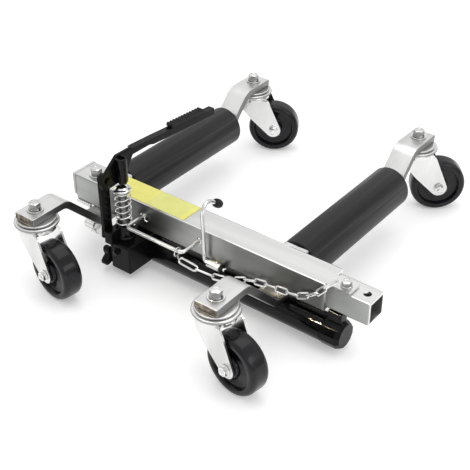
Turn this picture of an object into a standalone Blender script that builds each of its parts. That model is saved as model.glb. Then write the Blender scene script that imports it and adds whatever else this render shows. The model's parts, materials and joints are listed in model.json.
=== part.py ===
"""Hydraulic vehicle positioning dolly: two rollers on a telescopic beam close under a tyre.

Metres, +Z up, floor at z = 0. +X runs along the beam, +Y from the beam to the far ends of the rollers.
The origin is the centre of the whole dolly's footprint.
"""

from math import cos, pi, radians, sin

import bmesh
import bpy
from mathutils import Matrix, Vector

# Overall layout. Beam places below are measured from the beam's left end and its centre plane.
BEAM_LENGTH = 0.540
BEAM_TOP = 0.1087
BEAM_Y = -0.1227
GAP = 0.0003
LOOSE = 0.0005
RUNNING = 0.0004

OUTER_LENGTH = 0.473
OUTER_SIZE = 0.046
OUTER_WALL = 0.0044
TUBE_EDGE = 0.0022
INNER_START = 0.120
INNER_SIZE = 0.0366
INNER_WALL = 0.003
INNER_HOLE_X = 0.525
INNER_HOLE_R = 0.0058
END_THICK = 0.0045
END_ROUND = 0.012
TONGUE_END = 0.509
TONGUE_THICK = 0.0036
LABEL_START = 0.080
LABEL_END = 0.224
LABEL_HALF = 0.0205
LABEL_THICK = 0.0004

LEFT_X = 0.058
RIGHT_X = 0.391
FRONT_STEM_Y = -0.1535
REAR_STEM_Y = 0.3735

# Caster bars
BAR_WIDTH = 0.038
BAR_THICK = 0.0115
BAR_TOP = 0.1305
BAR_OVERHANG = 0.022
FRONT_BEND_Y = -0.107
REAR_BEND_Y = 0.331
FRONT_TAIL_Y = 0.0312
REAR_FOOT_Z = 0.058
BAR_EDGE = 0.0012
MITRE = 2 ** 0.5 - 1

# Rollers
ROLLER_R = 0.0335
ROLLER_WALL = 0.003
ROLLER_Z = 0.0767
ROLLER_START_Y = 0.033
ROLLER_END_Y = 0.2918
ROLLER_PLAY = 0.0008
AXLE_R = 0.008
PLATE_DEPTH = 0.008
BUSH_LENGTH = 0.009

# Casters
WHEEL_R = 0.045
WHEEL_WIDTH = 0.034
WHEEL_SEGMENTS = 30
TRAIL = 0.039
CASTER_AXLE_R = 0.0042
STEM_R = 0.006
STEM_END = 0.0985
STEM_NUT_R = 0.0088
STEM_HEX = 0.0155
STEM_HEAD = 0.0075
FLAT_WASHER = (0.0125, 0.0022)
SPRING_WASHER = (0.0098, 0.0030)
AXLE_HEX = 0.0135
AXLE_HEAD = 0.0060
AXLE_NUT = 0.0052
AXLE_STUB = 0.0016
RACE_R = 0.0335
RACE_BOTTOM = 0.1095
CROWN_R = 0.0285
CROWN_BOTTOM = 0.1025
FORK_END_R = 0.0135
FORK_THICK = 0.0028
FORK_CLEARANCE = 0.0018
HEADINGS = {"front_left": -9.0, "front_right": -8.0, "rear_left": 30.0, "rear_right": 38.0}

# Pump, pedal and ram
RAM_Y = -0.013
RAM_Z = 0.029
RAM_ROD_R = 0.012
RAM_ROD_END = 0.440
ANCHOR_X = 0.046
ANCHOR_Z = 0.032
ANCHOR_R = 0.020
ANCHOR_TOP = 0.0506
ANCHOR_FRONT = -0.026
ANCHOR_THICK = 0.010
BARREL_R = 0.021
CAP_R = 0.022
CAP_START = 0.474
CAP_END = 0.505
WEB_START = 0.478
WEB_END = 0.500
BLOCK_LEFT = 0.122
BLOCK_RIGHT = 0.160
BLOCK_FRONT = -0.073
BLOCK_BACK = 0.008
BLOCK_BOTTOM = 0.010
BLOCK_TOP = 0.058
KNOB_Y = -0.062
KNOB_Z = 0.024
KNOB_R = 0.0155
KNOB_LOBE = 0.0045
KNOB_TURN = 0.5
KNOB_POINTS = 28
PLUNGER_X = 0.131
PLUNGER_Y = -0.048
PLUNGER_R = 0.007
WELL_BOTTOM = 0.045
BOSS_R = 0.0135
BOSS_TOP = 0.081
SPRING_R = 0.0118
SPRING_WIRE = 0.0009
SPRING_TURNS = 6
CAP_BOTTOM = 0.139
CAP_TOP = 0.1468
PIVOT_Y = -0.069
PIVOT_Z = 0.162
PLATE_X = 0.1225
PLATE_THICK = 0.006
ARM_HALF = 0.0055
LINK_LEFT = 0.1117
PIVOT_R = 0.004
PUSHER_R = 0.006
PAD_START = 0.072
PAD_PITCH = 0.0065
PAD_TEETH = 12
PAD_HALF = 0.0065
PAD_LIFT = 0.001
PAD_THICK = 0.0067
PAD_GROOVE = 0.002

# Lock pin and latch lever
ROD_R = 0.003
PIN_Z = 0.088
PIN_LEFT = 0.1475
PIN_RIGHT = 0.256
PIN_FRONT = -0.062
LATCH_Y = -0.030
LATCH_Z = 0.062
LATCH_X = 0.271
LATCH_END = 0.310
SLEEVE_START = 0.2775
SLEEVE_END = 0.3000
SLEEVE_R = 0.0062
COLLAR_LENGTH = 0.004
COLLAR_R = 0.0068
RING_X = 0.247
RING_R = 0.0065
RING_WIRE = 0.0012
CHAIN_R = 0.0032

OUTER_HALF = OUTER_SIZE / 2
BEAM_Z = BEAM_TOP - OUTER_HALF
BEAM_BOTTOM = BEAM_TOP - OUTER_SIZE
BAR_FLAT_TOP = BEAM_BOTTOM - GAP
INNER_TOP = BEAM_Z + INNER_SIZE / 2


def at(x, y, z):
    """World place of a point given from the beam's left end, its centre plane and the floor."""
    return Vector((x - BEAM_LENGTH / 2, y + BEAM_Y, z))


def material(name, colour, metallic, roughness):
    made = bpy.data.materials.new(name)
    made.use_nodes = True
    shader = made.node_tree.nodes["Principled BSDF"]
    shader.inputs["Base Color"].default_value = (*colour, 1)
    shader.inputs["Metallic"].default_value = metallic
    shader.inputs["Roughness"].default_value = roughness
    made.diffuse_color = (*colour, 1)
    return made


def node(name, bm, colour, place=(0, 0, 0), turn=0.0, helper=False):
    """Makes one named object with its own material from a bmesh built round its own origin."""
    bmesh.ops.recalc_face_normals(bm, faces=bm.faces)
    mesh = bpy.data.meshes.new(name)
    bm.to_mesh(mesh)
    bm.free()
    mesh.shade_smooth()
    mesh.set_sharp_from_angle(angle=radians(35))
    made = bpy.data.objects.new(name, mesh)
    bpy.context.scene.collection.objects.link(made)
    made.location = place
    made.rotation_euler = (0, 0, turn)
    if helper:
        made.hide_render = True
        made.display_type = "WIRE"
    else:
        mesh.materials.append(material(name, *FINISHES[colour]))
    return made


def combine(target, other, operation):
    """Joins a helper solid to a node, or cuts it away, with an exact Boolean."""
    change = target.modifiers.new(other.name, "BOOLEAN")
    change.object = other
    change.operation = operation
    change.solver = "EXACT"


def join(target, bm):
    extra = node(target.name + "_add", bm, None, target.location, target.rotation_euler.z, True)
    combine(target, extra, "UNION")


def cut(target, bm):
    cutter = node(target.name + "_cut", bm, None, target.location, target.rotation_euler.z, True)
    combine(target, cutter, "DIFFERENCE")


def bevel(target, width, segments=1):
    rounding = target.modifiers.new("edge", "BEVEL")
    rounding.width = width
    rounding.segments = segments
    rounding.limit_method = "ANGLE"
    rounding.angle_limit = radians(40)
    return target


def prism(outline, low, high, axis):
    """Solid with a flat outline, run from low to high along X (outline y, z), Y (x, z) or Z (x, y)."""
    places = {
        "X": lambda u, v, w: (w, u, v),
        "Y": lambda u, v, w: (u, w, v),
        "Z": lambda u, v, w: (u, v, w),
    }
    place = places[axis]
    bm = bmesh.new()
    ends = [[bm.verts.new(place(u, v, w)) for u, v in outline] for w in (low, high)]
    for ring in ends:
        bm.faces.new(ring)
    count = len(outline)
    for i in range(count):
        j = (i + 1) % count
        bm.faces.new((ends[0][i], ends[0][j], ends[1][j], ends[1][i]))
    return bm


def box(low, high):
    outline = [(low[0], low[1]), (high[0], low[1]), (high[0], high[1]), (low[0], high[1])]
    return prism(outline, low[2], high[2], "Z")


def turned(profile, axis="Z", segments=32):
    """Solid turned round an axis through the origin from a profile of (radius, height) points.

    A profile that starts and ends on the axis is solid; one that stays off it is closed into a ring.
    """
    spins = {
        "X": Matrix.Rotation(pi / 2, 3, "Y"),
        "Y": Matrix.Rotation(-pi / 2, 3, "X"),
        "Z": Matrix.Identity(3),
    }
    spin = spins[axis]
    bm = bmesh.new()
    rings = []
    for radius, height in profile:
        if radius == 0:
            rings.append([bm.verts.new(spin @ Vector((0, 0, height)))])
            continue
        angles = [2 * pi * i / segments for i in range(segments)]
        points = [Vector((radius * cos(a), radius * sin(a), height)) for a in angles]
        rings.append([bm.verts.new(spin @ point) for point in points])
    pairs = list(zip(rings, rings[1:]))
    if profile[0][0] != 0:
        pairs.append((rings[-1], rings[0]))
    for lower, upper in pairs:
        for i in range(segments):
            j = (i + 1) % segments
            below = [lower[i % len(lower)], lower[j % len(lower)]]
            above = [upper[j % len(upper)], upper[i % len(upper)]]
            bm.faces.new(list(dict.fromkeys(below + above)))
    return bm


def cylinder(radius, low, high, axis="Z", segments=32):
    return turned([(0, low), (radius, low), (radius, high), (0, high)], axis, segments)


def shifted(bm, *offset):
    bmesh.ops.translate(bm, vec=Vector(offset), verts=bm.verts)
    return bm


def arc(centre, radius, start, end, steps):
    """Points of an arc in a plane, its angles in degrees."""
    turns = [radians(start + (end - start) * i / steps) for i in range(steps + 1)]
    return [(centre[0] + radius * cos(a), centre[1] + radius * sin(a)) for a in turns]


def rounded_path(corners, radius, steps=5):
    """A path through its corners, each one rounded by a curve of about the given radius."""
    path = [Vector(corners[0])]
    for before, corner, after in zip(corners, corners[1:], corners[2:]):
        corner = Vector(corner)
        start = corner + (Vector(before) - corner).normalized() * radius
        end = corner + (Vector(after) - corner).normalized() * radius
        for i in range(steps + 1):
            t = i / steps
            path.append((1 - t) ** 2 * start + 2 * t * (1 - t) * corner + t * t * end)
    path.append(Vector(corners[-1]))
    return path


def smooth_path(points, steps=4):
    """A smooth curve through hand-placed route points."""
    points = [Vector(p) for p in points]
    padded = [2 * points[0] - points[1], *points, 2 * points[-1] - points[-2]]
    path = []
    for a, b, c, d in zip(padded, padded[1:], padded[2:], padded[3:]):
        for i in range(steps):
            t = i / steps
            square = (2 * a - 5 * b + 4 * c - d) * t ** 2
            cube = (3 * b - a - 3 * c + d) * t ** 3
            path.append(0.5 * (2 * b + (c - a) * t + square + cube))
    return path + [points[-1]]


def rod(name, path, radius, colour, place=(0, 0, 0), resolution=2):
    """A round bar along a path given round the object's own origin."""
    curve = bpy.data.curves.new(name, "CURVE")
    curve.dimensions = "3D"
    curve.bevel_depth = radius
    curve.bevel_resolution = resolution
    curve.use_fill_caps = True
    line = curve.splines.new("POLY")
    line.points.add(len(path) - 1)
    for point, target in zip(line.points, path):
        point.co = (*target, 1)
    curve.materials.append(material(name, *FINISHES[colour]))
    made = bpy.data.objects.new(name, curve)
    bpy.context.scene.collection.objects.link(made)
    made.location = place
    return made


def hexagon(across_flats):
    corner = across_flats / 2 / cos(pi / 6)
    return [(corner * cos(pi * i / 3), corner * sin(pi * i / 3)) for i in range(6)]


FINISHES = {
    "zinc": ((0.62, 0.63, 0.63), 1.0, 0.32),
    "bright": ((0.75, 0.76, 0.76), 1.0, 0.2),
    "black": ((0.012, 0.012, 0.013), 0.0, 0.3),
    "roller": ((0.035, 0.035, 0.037), 0.2, 0.45),
    "wheel": ((0.01, 0.01, 0.011), 0.0, 0.22),
    "rubber": ((0.015, 0.015, 0.015), 0.0, 0.7),
    "yellow": ((0.85, 0.8, 0.3), 0.0, 0.5),
}


def square_tube(name, start, end, size, wall):
    half = size / 2
    hollow = half - wall
    tube = node(name, box((start, -half, -half), (end, half, half)), "zinc", at(0, 0, BEAM_Z))
    bevel(tube, TUBE_EDGE, 2)
    cut(tube, box((start - 0.01, -hollow, -hollow), (end + 0.01, hollow, hollow)))
    return tube


def make_beam():
    outer = square_tube("outer_tube", 0.004, OUTER_LENGTH, OUTER_SIZE, OUTER_WALL)
    tongue_top = OUTER_HALF - 0.0002
    tongue_start = OUTER_LENGTH - 0.004
    tongue = box((tongue_start, -0.019, tongue_top - TONGUE_THICK), (TONGUE_END, 0.006, tongue_top))
    join(outer, tongue)
    for x in (PIN_LEFT, PIN_RIGHT):
        hole = cylinder(ROD_R + LOOSE, -OUTER_HALF - 0.01, -OUTER_HALF + OUTER_WALL + 0.002, "Y", 16)
        cut(outer, shifted(hole, x, 0, PIN_Z - BEAM_Z))
    inset = OUTER_HALF - END_ROUND
    left = arc((-inset, -inset), END_ROUND, 180, 270, 5)
    right = arc((inset, -inset), END_ROUND, 270, 360, 5)
    end = left + right + [(OUTER_HALF, OUTER_HALF), (-OUTER_HALF, OUTER_HALF)]
    join(outer, prism(end, 0, END_THICK, "X"))
    inner = square_tube("inner_tube", INNER_START, BEAM_LENGTH, INNER_SIZE, INNER_WALL)
    hole = cylinder(INNER_HOLE_R, INNER_SIZE / 2 - 0.01, INNER_SIZE / 2 + 0.01, "Z", 20)
    cut(inner, shifted(hole, INNER_HOLE_X, 0, 0))
    label = box((LABEL_START, -LABEL_HALF, 0), (LABEL_END, LABEL_HALF, LABEL_THICK))
    node("yellow_label", label, "yellow", at(0, 0, BEAM_TOP + GAP))


def hex_bolt(name, place, across, head, shank_r, shank_length, washers):
    """A bolt standing on its place, shank down, with (radius, height) washers under its head."""
    profile = [(0, -shank_length), (shank_r, -shank_length), (shank_r, 0)]
    height = 0.0
    for radius, thick in washers:
        profile += [(radius, height), (radius, height + thick)]
        height += thick
    top = height + head
    profile += [(across * 0.45, height), (across * 0.42, top + 0.0006), (0, top + 0.0006)]
    bolt = node(name, turned(profile, "Z", 16), "bright", place)
    join(bolt, prism(hexagon(across), height - GAP, top, "Z"))
    return bolt


def front_bar_outline():
    """Side view (y, z) of a flat, a 45 degree slope down, and a flat under the beam."""
    drop = BAR_TOP - BAR_FLAT_TOP
    inset = BAR_THICK * MITRE
    nose = FRONT_STEM_Y - BAR_OVERHANG
    return [
        (nose, BAR_TOP),
        (FRONT_BEND_Y, BAR_TOP),
        (FRONT_BEND_Y + drop, BAR_FLAT_TOP),
        (FRONT_TAIL_Y, BAR_FLAT_TOP),
        (FRONT_TAIL_Y, BAR_FLAT_TOP - BAR_THICK),
        (FRONT_BEND_Y + drop - inset, BAR_FLAT_TOP - BAR_THICK),
        (FRONT_BEND_Y - inset, BAR_TOP - BAR_THICK),
        (nose, BAR_TOP - BAR_THICK),
    ]


def rear_bar_outline():
    """Side view (y, z) of an upright at the roller's end, a 45 degree slope, and a flat."""
    inset = BAR_THICK * MITRE
    face = ROLLER_END_Y + ROLLER_PLAY
    back = face + BAR_THICK
    slope_start = BAR_TOP - (REAR_BEND_Y - face)
    nose = REAR_STEM_Y + BAR_OVERHANG
    return [
        (face, REAR_FOOT_Z),
        (face, slope_start),
        (REAR_BEND_Y, BAR_TOP),
        (nose, BAR_TOP),
        (nose, BAR_TOP - BAR_THICK),
        (REAR_BEND_Y + inset, BAR_TOP - BAR_THICK),
        (back, slope_start - inset),
        (back, REAR_FOOT_Z),
    ]


def make_bars():
    for side, x in (("left", LEFT_X), ("right", RIGHT_X)):
        for end, outline, stem_y in (
            ("front", front_bar_outline(), FRONT_STEM_Y),
            ("rear", rear_bar_outline(), REAR_STEM_Y),
        ):
            flat = prism(outline, -BAR_WIDTH / 2, BAR_WIDTH / 2, "X")
            bar = bevel(node(f"{end}_{side}_bar", flat, "zinc", at(x, 0, 0)), BAR_EDGE)
            hole = cylinder(STEM_R + LOOSE, BAR_TOP - 0.03, BAR_TOP + 0.01, "Z", 20)
            cut(bar, shifted(hole, 0, stem_y, 0))


def make_rollers():
    inner = ROLLER_R - ROLLER_WALL
    edge = 0.001
    plate_front = OUTER_HALF + GAP
    plate_back = plate_front + PLATE_DEPTH
    half = BAR_WIDTH / 2
    for side, x in (("left", LEFT_X), ("right", RIGHT_X)):
        plate = box((-half, plate_front, BEAM_BOTTOM), (half, plate_back, BEAM_TOP - 0.002))
        bevel(node(f"{side}_axle_plate", plate, "zinc", at(x, 0, 0)), edge)
        axle = cylinder(AXLE_R, plate_back + GAP, ROLLER_END_Y + LOOSE, "Y", 24)
        node(f"{side}_axle", axle, "zinc", at(x, 0, ROLLER_Z))
        profile = [
            (inner, ROLLER_START_Y),
            (ROLLER_R - edge, ROLLER_START_Y),
            (ROLLER_R, ROLLER_START_Y + edge),
            (ROLLER_R, ROLLER_END_Y - edge),
            (ROLLER_R - edge, ROLLER_END_Y),
            (inner, ROLLER_END_Y),
        ]
        node(f"{side}_roller", turned(profile, "Y", 36), "roller", at(x, 0, ROLLER_Z))
        for end, low in (("near", ROLLER_START_Y + edge), ("far", ROLLER_END_Y - edge - BUSH_LENGTH)):
            high = low + BUSH_LENGTH
            hole = AXLE_R + GAP
            ring = [(hole, low), (inner - GAP, low), (inner - GAP, high), (hole, high)]
            node(f"{side}_roller_{end}_bush", turned(ring, "Y", 24), "black", at(x, 0, ROLLER_Z))


def caster_fork_leg():
    """Outline of a fork's leg, from its crown round its axle: distance along the heading, and height."""
    bottom = arc((TRAIL, WHEEL_R), FORK_END_R, -134, 23, 5)
    back = [(-0.0190, 0.1060), (-0.0165, 0.0840), (-0.0010, 0.0650)]
    front = [(0.0300, 0.1010), (0.0260, 0.1060)]
    return back + bottom + front


def make_stem_bolt(corner, x, y):
    """The caster's stem bolt, with its lower nut inside the fork's crown."""
    place = at(x, y, BAR_TOP + GAP)
    length = place.z - STEM_END
    washers = (FLAT_WASHER, SPRING_WASHER)
    bolt = hex_bolt(f"{corner}_stem_bolt", place, STEM_HEX, STEM_HEAD, STEM_R, length, washers)
    join(bolt, cylinder(STEM_NUT_R, -length - 0.0012, -length + 0.0035, "Z", 16))


def make_race(corner, stem):
    top = BAR_TOP - BAR_THICK - GAP
    hole = STEM_R + GAP
    profile = [
        (hole, RACE_BOTTOM),
        (RACE_R - 0.0045, RACE_BOTTOM),
        (RACE_R, RACE_BOTTOM + 0.0025),
        (RACE_R, top - 0.003),
        (RACE_R - 0.0025, top),
        (hole, top),
    ]
    node(f"{corner}_race", turned(profile, "Z", 28), "zinc", stem)


def make_fork(corner, stem, turn):
    hole = STEM_R + GAP
    top = RACE_BOTTOM - GAP
    crown = [
        (hole, CROWN_BOTTOM),
        (CROWN_R - 0.005, CROWN_BOTTOM),
        (CROWN_R, CROWN_BOTTOM + 0.003),
        (CROWN_R, top - 0.001),
        (CROWN_R - 0.0015, top),
        (hole, top),
    ]
    fork = node(f"{corner}_fork", turned(crown, "Z", 24), "zinc", stem, turn)
    inner = WHEEL_WIDTH / 2 + FORK_CLEARANCE
    outer = inner + FORK_THICK
    for side in (-1, 1):
        low, high = sorted((side * inner, side * outer))
        join(fork, prism(caster_fork_leg(), low, high, "Y"))
    drill = cylinder(CASTER_AXLE_R + GAP, -2 * outer, 2 * outer, "Y", 12)
    cut(fork, shifted(drill, TRAIL, 0, WHEEL_R))


def make_axle(corner, hub, turn):
    """The wheel's bolt, with its head on the far side, and its nut and threaded end on the near side."""
    reach = WHEEL_WIDTH / 2 + FORK_CLEARANCE + FORK_THICK + GAP
    head = reach + AXLE_HEAD
    nut = reach + AXLE_NUT
    head_r = AXLE_HEX * 0.46
    profile = [
        (0, -nut - AXLE_STUB),
        (CASTER_AXLE_R - 0.0006, -nut - AXLE_STUB),
        (CASTER_AXLE_R, -nut),
        (head_r, -nut),
        (head_r, -reach),
        (CASTER_AXLE_R, -reach),
        (CASTER_AXLE_R, reach),
        (head_r, reach),
        (head_r, head),
        (0, head),
    ]
    axle = node(f"{corner}_axle", turned(profile, "Y", 12), "bright", hub, turn)
    for low, high in ((-nut, -reach), (reach, head)):
        join(axle, prism(hexagon(AXLE_HEX), low, high, "Y"))


def make_wheel(corner, hub, turn):
    """A solid wheel with a raised hub and rim. Its flats, not its corners, are at the wheel's radius."""
    half = WHEEL_WIDTH / 2
    outer = WHEEL_R / cos(pi / WHEEL_SEGMENTS)
    side = [
        (0.013, half),
        (0.0155, half - 0.0045),
        (0.0285, half - 0.0045),
        (0.0315, half - 0.0012),
        (0.0390, half - 0.0012),
        (outer, half - 0.0095),
    ]
    bore = CASTER_AXLE_R + RUNNING
    profile = [(bore, half), *side, *[(r, -h) for r, h in reversed(side)], (bore, -half)]
    node(f"{corner}_wheel", turned(profile, "Y", WHEEL_SEGMENTS), "wheel", hub, turn)


def make_caster(corner, x, y, heading):
    turn = radians(heading)
    stem = at(x, y, 0)
    hub = stem + Matrix.Rotation(turn, 3, "Z") @ Vector((TRAIL, 0, WHEEL_R))
    make_stem_bolt(corner, x, y)
    make_race(corner, stem)
    make_fork(corner, stem, turn)
    make_axle(corner, hub, turn)
    make_wheel(corner, hub, turn)


def make_pump():
    body = box((BLOCK_LEFT, BLOCK_FRONT, BLOCK_BOTTOM), (BLOCK_RIGHT, BLOCK_BACK, BLOCK_TOP))
    block = bevel(node("pump_block", body, "black", at(0, 0, 0)), 0.0025, 2)
    join(block, shifted(cylinder(BOSS_R, BLOCK_TOP - 0.01, BOSS_TOP, "Z", 32), PLUNGER_X, PLUNGER_Y, 0))
    join(block, box((0.118, -0.079, 0.060), (0.126, -0.052, BOSS_TOP - 0.003)))
    join(block, box((0.118, -0.078, 0.040), (0.132, -0.052, 0.066)))
    join(block, box((0.128, -0.018, BLOCK_TOP - 0.004), (0.154, 0.006, BEAM_BOTTOM - GAP)))
    well = cylinder(PLUNGER_R + RUNNING, WELL_BOTTOM, BOSS_TOP + 0.01, "Z", 24)
    cut(block, shifted(well, PLUNGER_X, PLUNGER_Y, 0))


def make_ram():
    """The ram's rod stands out of the pump, and its barrel slides along the rod with the right frame."""
    piston_rod = cylinder(RAM_ROD_R, BLOCK_RIGHT + GAP, RAM_ROD_END, "X", 28)
    node("ram_rod", piston_rod, "bright", at(0, RAM_Y, RAM_Z))
    anchor = [
        (-ANCHOR_R, ANCHOR_TOP),
        *arc((0, ANCHOR_Z), ANCHOR_R, 180, 360, 10),
        (ANCHOR_R, ANCHOR_TOP),
    ]
    plate = prism(anchor, ANCHOR_FRONT, ANCHOR_FRONT + ANCHOR_THICK, "Y")
    bevel(node("ram_anchor", plate, "zinc", at(ANCHOR_X, 0, 0)), 0.0015)
    bore = RAM_ROD_R + RUNNING
    barrel = [
        (bore, BLOCK_RIGHT + GAP),
        (BARREL_R - 0.001, BLOCK_RIGHT + GAP),
        (BARREL_R, BLOCK_RIGHT + 0.0015),
        (BARREL_R, CAP_START - GAP),
        (bore, CAP_START - GAP),
    ]
    node("ram_barrel", turned(barrel, "X", 32), "black", at(0, RAM_Y, RAM_Z))
    shoulder = CAP_END - 0.007
    cap = [(0, CAP_START), (CAP_R, CAP_START), (CAP_R, shoulder), (CAP_R - 0.003, CAP_END), (0, CAP_END)]
    node("ram_cap", turned(cap, "X", 12), "black", at(0, RAM_Y, RAM_Z))
    web_top = BEAM_Z - INNER_SIZE / 2 - GAP
    web = box((WEB_START, RAM_Y - 0.008, RAM_Z + CAP_R + GAP), (WEB_END, RAM_Y + 0.008, web_top))
    bevel(node("ram_web", web, "zinc", at(0, 0, 0)), 0.001)


def make_release_knob():
    """A four-lobed knob on a short hub, on the left face of the pump."""
    knob = []
    for i in range(KNOB_POINTS):
        a = 2 * pi * i / KNOB_POINTS
        radius = KNOB_R + KNOB_LOBE * cos(4 * a)
        knob.append((radius * cos(a + KNOB_TURN), radius * sin(a + KNOB_TURN)))
    grip = prism(knob, -0.016, -0.0045, "X")
    release = node("release_knob", grip, "black", at(BLOCK_LEFT, KNOB_Y, KNOB_Z))
    bevel(release, 0.0015)
    join(release, cylinder(0.006, -0.006, -GAP, "X", 20))


def make_plunger():
    profile = [
        (0, 0.066),
        (PLUNGER_R, 0.066),
        (PLUNGER_R, CAP_BOTTOM),
        (0.0128, CAP_BOTTOM),
        (0.0138, CAP_BOTTOM + 0.002),
        (0.0138, CAP_TOP - 0.0025),
        (0.0125, CAP_TOP - 0.0005),
        (0.0095, CAP_TOP),
        (0, CAP_TOP),
    ]
    node("plunger", turned(profile, "Z", 24), "bright", at(PLUNGER_X, PLUNGER_Y, 0))
    low = BOSS_TOP + GAP + SPRING_WIRE
    high = CAP_BOTTOM - GAP - SPRING_WIRE
    steps = 12 * SPRING_TURNS
    coil = []
    for i in range(steps + 1):
        a = 2 * pi * SPRING_TURNS * i / steps
        coil.append((SPRING_R * cos(a), SPRING_R * sin(a), low + (high - low) * i / steps))
    rod("return_spring", coil, SPRING_WIRE, "bright", at(PLUNGER_X, PLUNGER_Y, 0), 0)


def make_pedal():
    link = [
        *arc((PIVOT_Y, PIVOT_Z), 0.0095, 0, 180, 8),
        (PIVOT_Y - 0.009, 0.084),
        (PIVOT_Y - 0.0105, 0.064),
        (PIVOT_Y + 0.0105, 0.064),
        (PIVOT_Y + 0.009, 0.084),
    ]
    arm_left = PLATE_X - PLATE_THICK / 2
    plate = prism(link, LINK_LEFT, LINK_LEFT + PLATE_THICK, "X")
    fulcrum = node("fulcrum_link", plate, "black", at(0, 0, 0))
    bevel(fulcrum, 0.0008)
    drill = cylinder(PIVOT_R + RUNNING, LINK_LEFT - 0.01, LINK_LEFT + 0.02, "X", 16)
    cut(fulcrum, shifted(drill, 0, PIVOT_Y, PIVOT_Z))
    pivot = at(0, PIVOT_Y, PIVOT_Z)
    head = LINK_LEFT - GAP
    tail = PLATE_X + 0.0045
    pin = [
        (0, head - 0.0039),
        (0.0065, head - 0.0039),
        (0.0065, head),
        (PIVOT_R, head),
        (PIVOT_R, tail),
        (0.0052, tail),
        (0.0052, tail + 0.0015),
        (0, tail + 0.0015),
    ]
    node("pivot_pin", turned(pin, "X", 20), "bright", pivot)
    top = [
        (-0.048, 0.1955),
        (-0.018, 0.1950),
        (0.030, 0.1920),
        (0.080, 0.1880),
        (0.130, 0.1845),
        (0.174, 0.1815),
    ]
    under = [(0.174, 0.1705), (0.130, 0.1735), (0.080, 0.1770), (0.030, 0.1808), (-0.014, 0.1815)]
    nose = arc((PIVOT_Y, PIVOT_Z), 0.0145, 315, 145, 9)
    heel = [(-0.029, 0.1590), (-0.036, 0.1565), (-0.050, 0.1540)]
    outline = [(y - PIVOT_Y, z - PIVOT_Z) for y, z in top + under + heel + nose]
    arm = node("pedal_arm", prism(outline, arm_left, arm_left + PLATE_THICK, "X"), "black", pivot)
    bevel(arm, 0.0012)
    bar = [(y - PIVOT_Y, z - PIVOT_Z) for y, z in top[1:] + under[:4]]
    join(arm, prism(bar, PLATE_X - ARM_HALF, PLATE_X + ARM_HALF, "X"))
    cut(arm, cylinder(PIVOT_R + RUNNING, arm_left - 0.01, arm_left + 0.02, "X", 16))
    push_y = PLUNGER_Y + 0.002 - PIVOT_Y
    push_x = PLATE_X + PLATE_THICK / 2 + PUSHER_R + GAP
    low = CAP_TOP + GAP - PIVOT_Z
    pusher = [
        (0, low),
        (0.0026, low + 0.0006),
        (0.0049, low + 0.0026),
        (PUSHER_R, low + 0.006),
        (PUSHER_R, 0.031),
        (0, 0.031),
    ]
    node("pedal_pusher", turned(pusher, "Z", 20), "black", pivot + Vector((push_x, push_y, 0)))
    make_foot_pad(pivot, Vector(top[3]), Vector(top[4]))


def make_foot_pad(pivot, arm_start, arm_end):
    """A ribbed rubber pad on the arm's top edge, along the straight between two of its (y, z) points."""
    slope = (arm_end.y - arm_start.y) / (arm_end.x - arm_start.x)

    def above_arm(y, height):
        return (y - PIVOT_Y, arm_start.y + slope * (y - arm_start.x) + height - PIVOT_Z)

    end = PAD_START + PAD_PITCH * PAD_TEETH
    outline = [above_arm(PAD_START, PAD_LIFT)]
    for i in range(PAD_TEETH):
        y = PAD_START + PAD_PITCH * i
        outline.append(above_arm(y, PAD_THICK - PAD_GROOVE))
        outline.append(above_arm(y + PAD_PITCH * 0.3, PAD_THICK))
        outline.append(above_arm(y + PAD_PITCH * 0.7, PAD_THICK))
    outline.append(above_arm(end, PAD_THICK - PAD_GROOVE))
    outline.append(above_arm(end, PAD_LIFT))
    node("foot_pad", prism(outline, PLATE_X - PAD_HALF, PLATE_X + PAD_HALF, "X"), "rubber", pivot)


def make_latches():
    wall = -OUTER_HALF
    tip = wall + OUTER_WALL - 0.0012
    loop = [(PIN_LEFT, tip, 0), (PIN_LEFT, PIN_FRONT, 0), (PIN_RIGHT, PIN_FRONT, 0), (PIN_RIGHT, tip, 0)]
    rod("lock_pin", rounded_path(loop, 0.007), ROD_R, "bright", at(0, 0, PIN_Z), 2)
    ring = arc((RING_R, 0), RING_WIRE, 0, 315, 7)
    node("pin_ring", turned(ring, "X", 18), "bright", at(RING_X, PIN_FRONT, PIN_Z - 0.0018))
    hole = ROD_R + RUNNING
    sleeve = [(hole, SLEEVE_START), (SLEEVE_R, SLEEVE_START), (SLEEVE_R, SLEEVE_END), (hole, SLEEVE_END)]
    node("latch_sleeve", turned(sleeve, "X", 20), "zinc", at(0, LATCH_Y, LATCH_Z))
    hole = ROD_R + GAP
    low = SLEEVE_END + LOOSE
    high = low + COLLAR_LENGTH
    collar = [(hole, low), (COLLAR_R, low), (COLLAR_R, high), (hole, high)]
    node("latch_collar", turned(collar, "X", 20), "black", at(0, LATCH_Y, LATCH_Z))
    side = [
        (0, 0.0065),
        (-0.0016, 0.045),
        (-0.0030, 0.080),
        (-0.0020, 0.088),
        (0.0015, 0.0945),
        (0.0070, 0.0975),
        (0.0130, 0.0968),
        (0.0190, 0.0932),
        (0.0260, 0.0880),
    ]
    foot = [(LATCH_END, 0, 0), (LATCH_X + 0.0065, 0, 0), (LATCH_X + 0.0018, 0, 0.0018)]
    hook = foot + [(LATCH_X, y, z) for y, z in side]
    rod("latch_lever", hook, ROD_R, "bright", at(0, LATCH_Y, LATCH_Z), 2)
    bulb = [(0, 0), (0.0055, 0), (0.0066, 0.002), (0.0066, 0.010), (0.0050, 0.0135), (0, 0.0145)]
    tip_place = at(LATCH_X, LATCH_Y + 0.0263, LATCH_Z + 0.0878)
    cover = node("latch_tip", turned(bulb, "Z", 20), "rubber", tip_place)
    cover.rotation_euler = (radians(-127), 0, 0)


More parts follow.
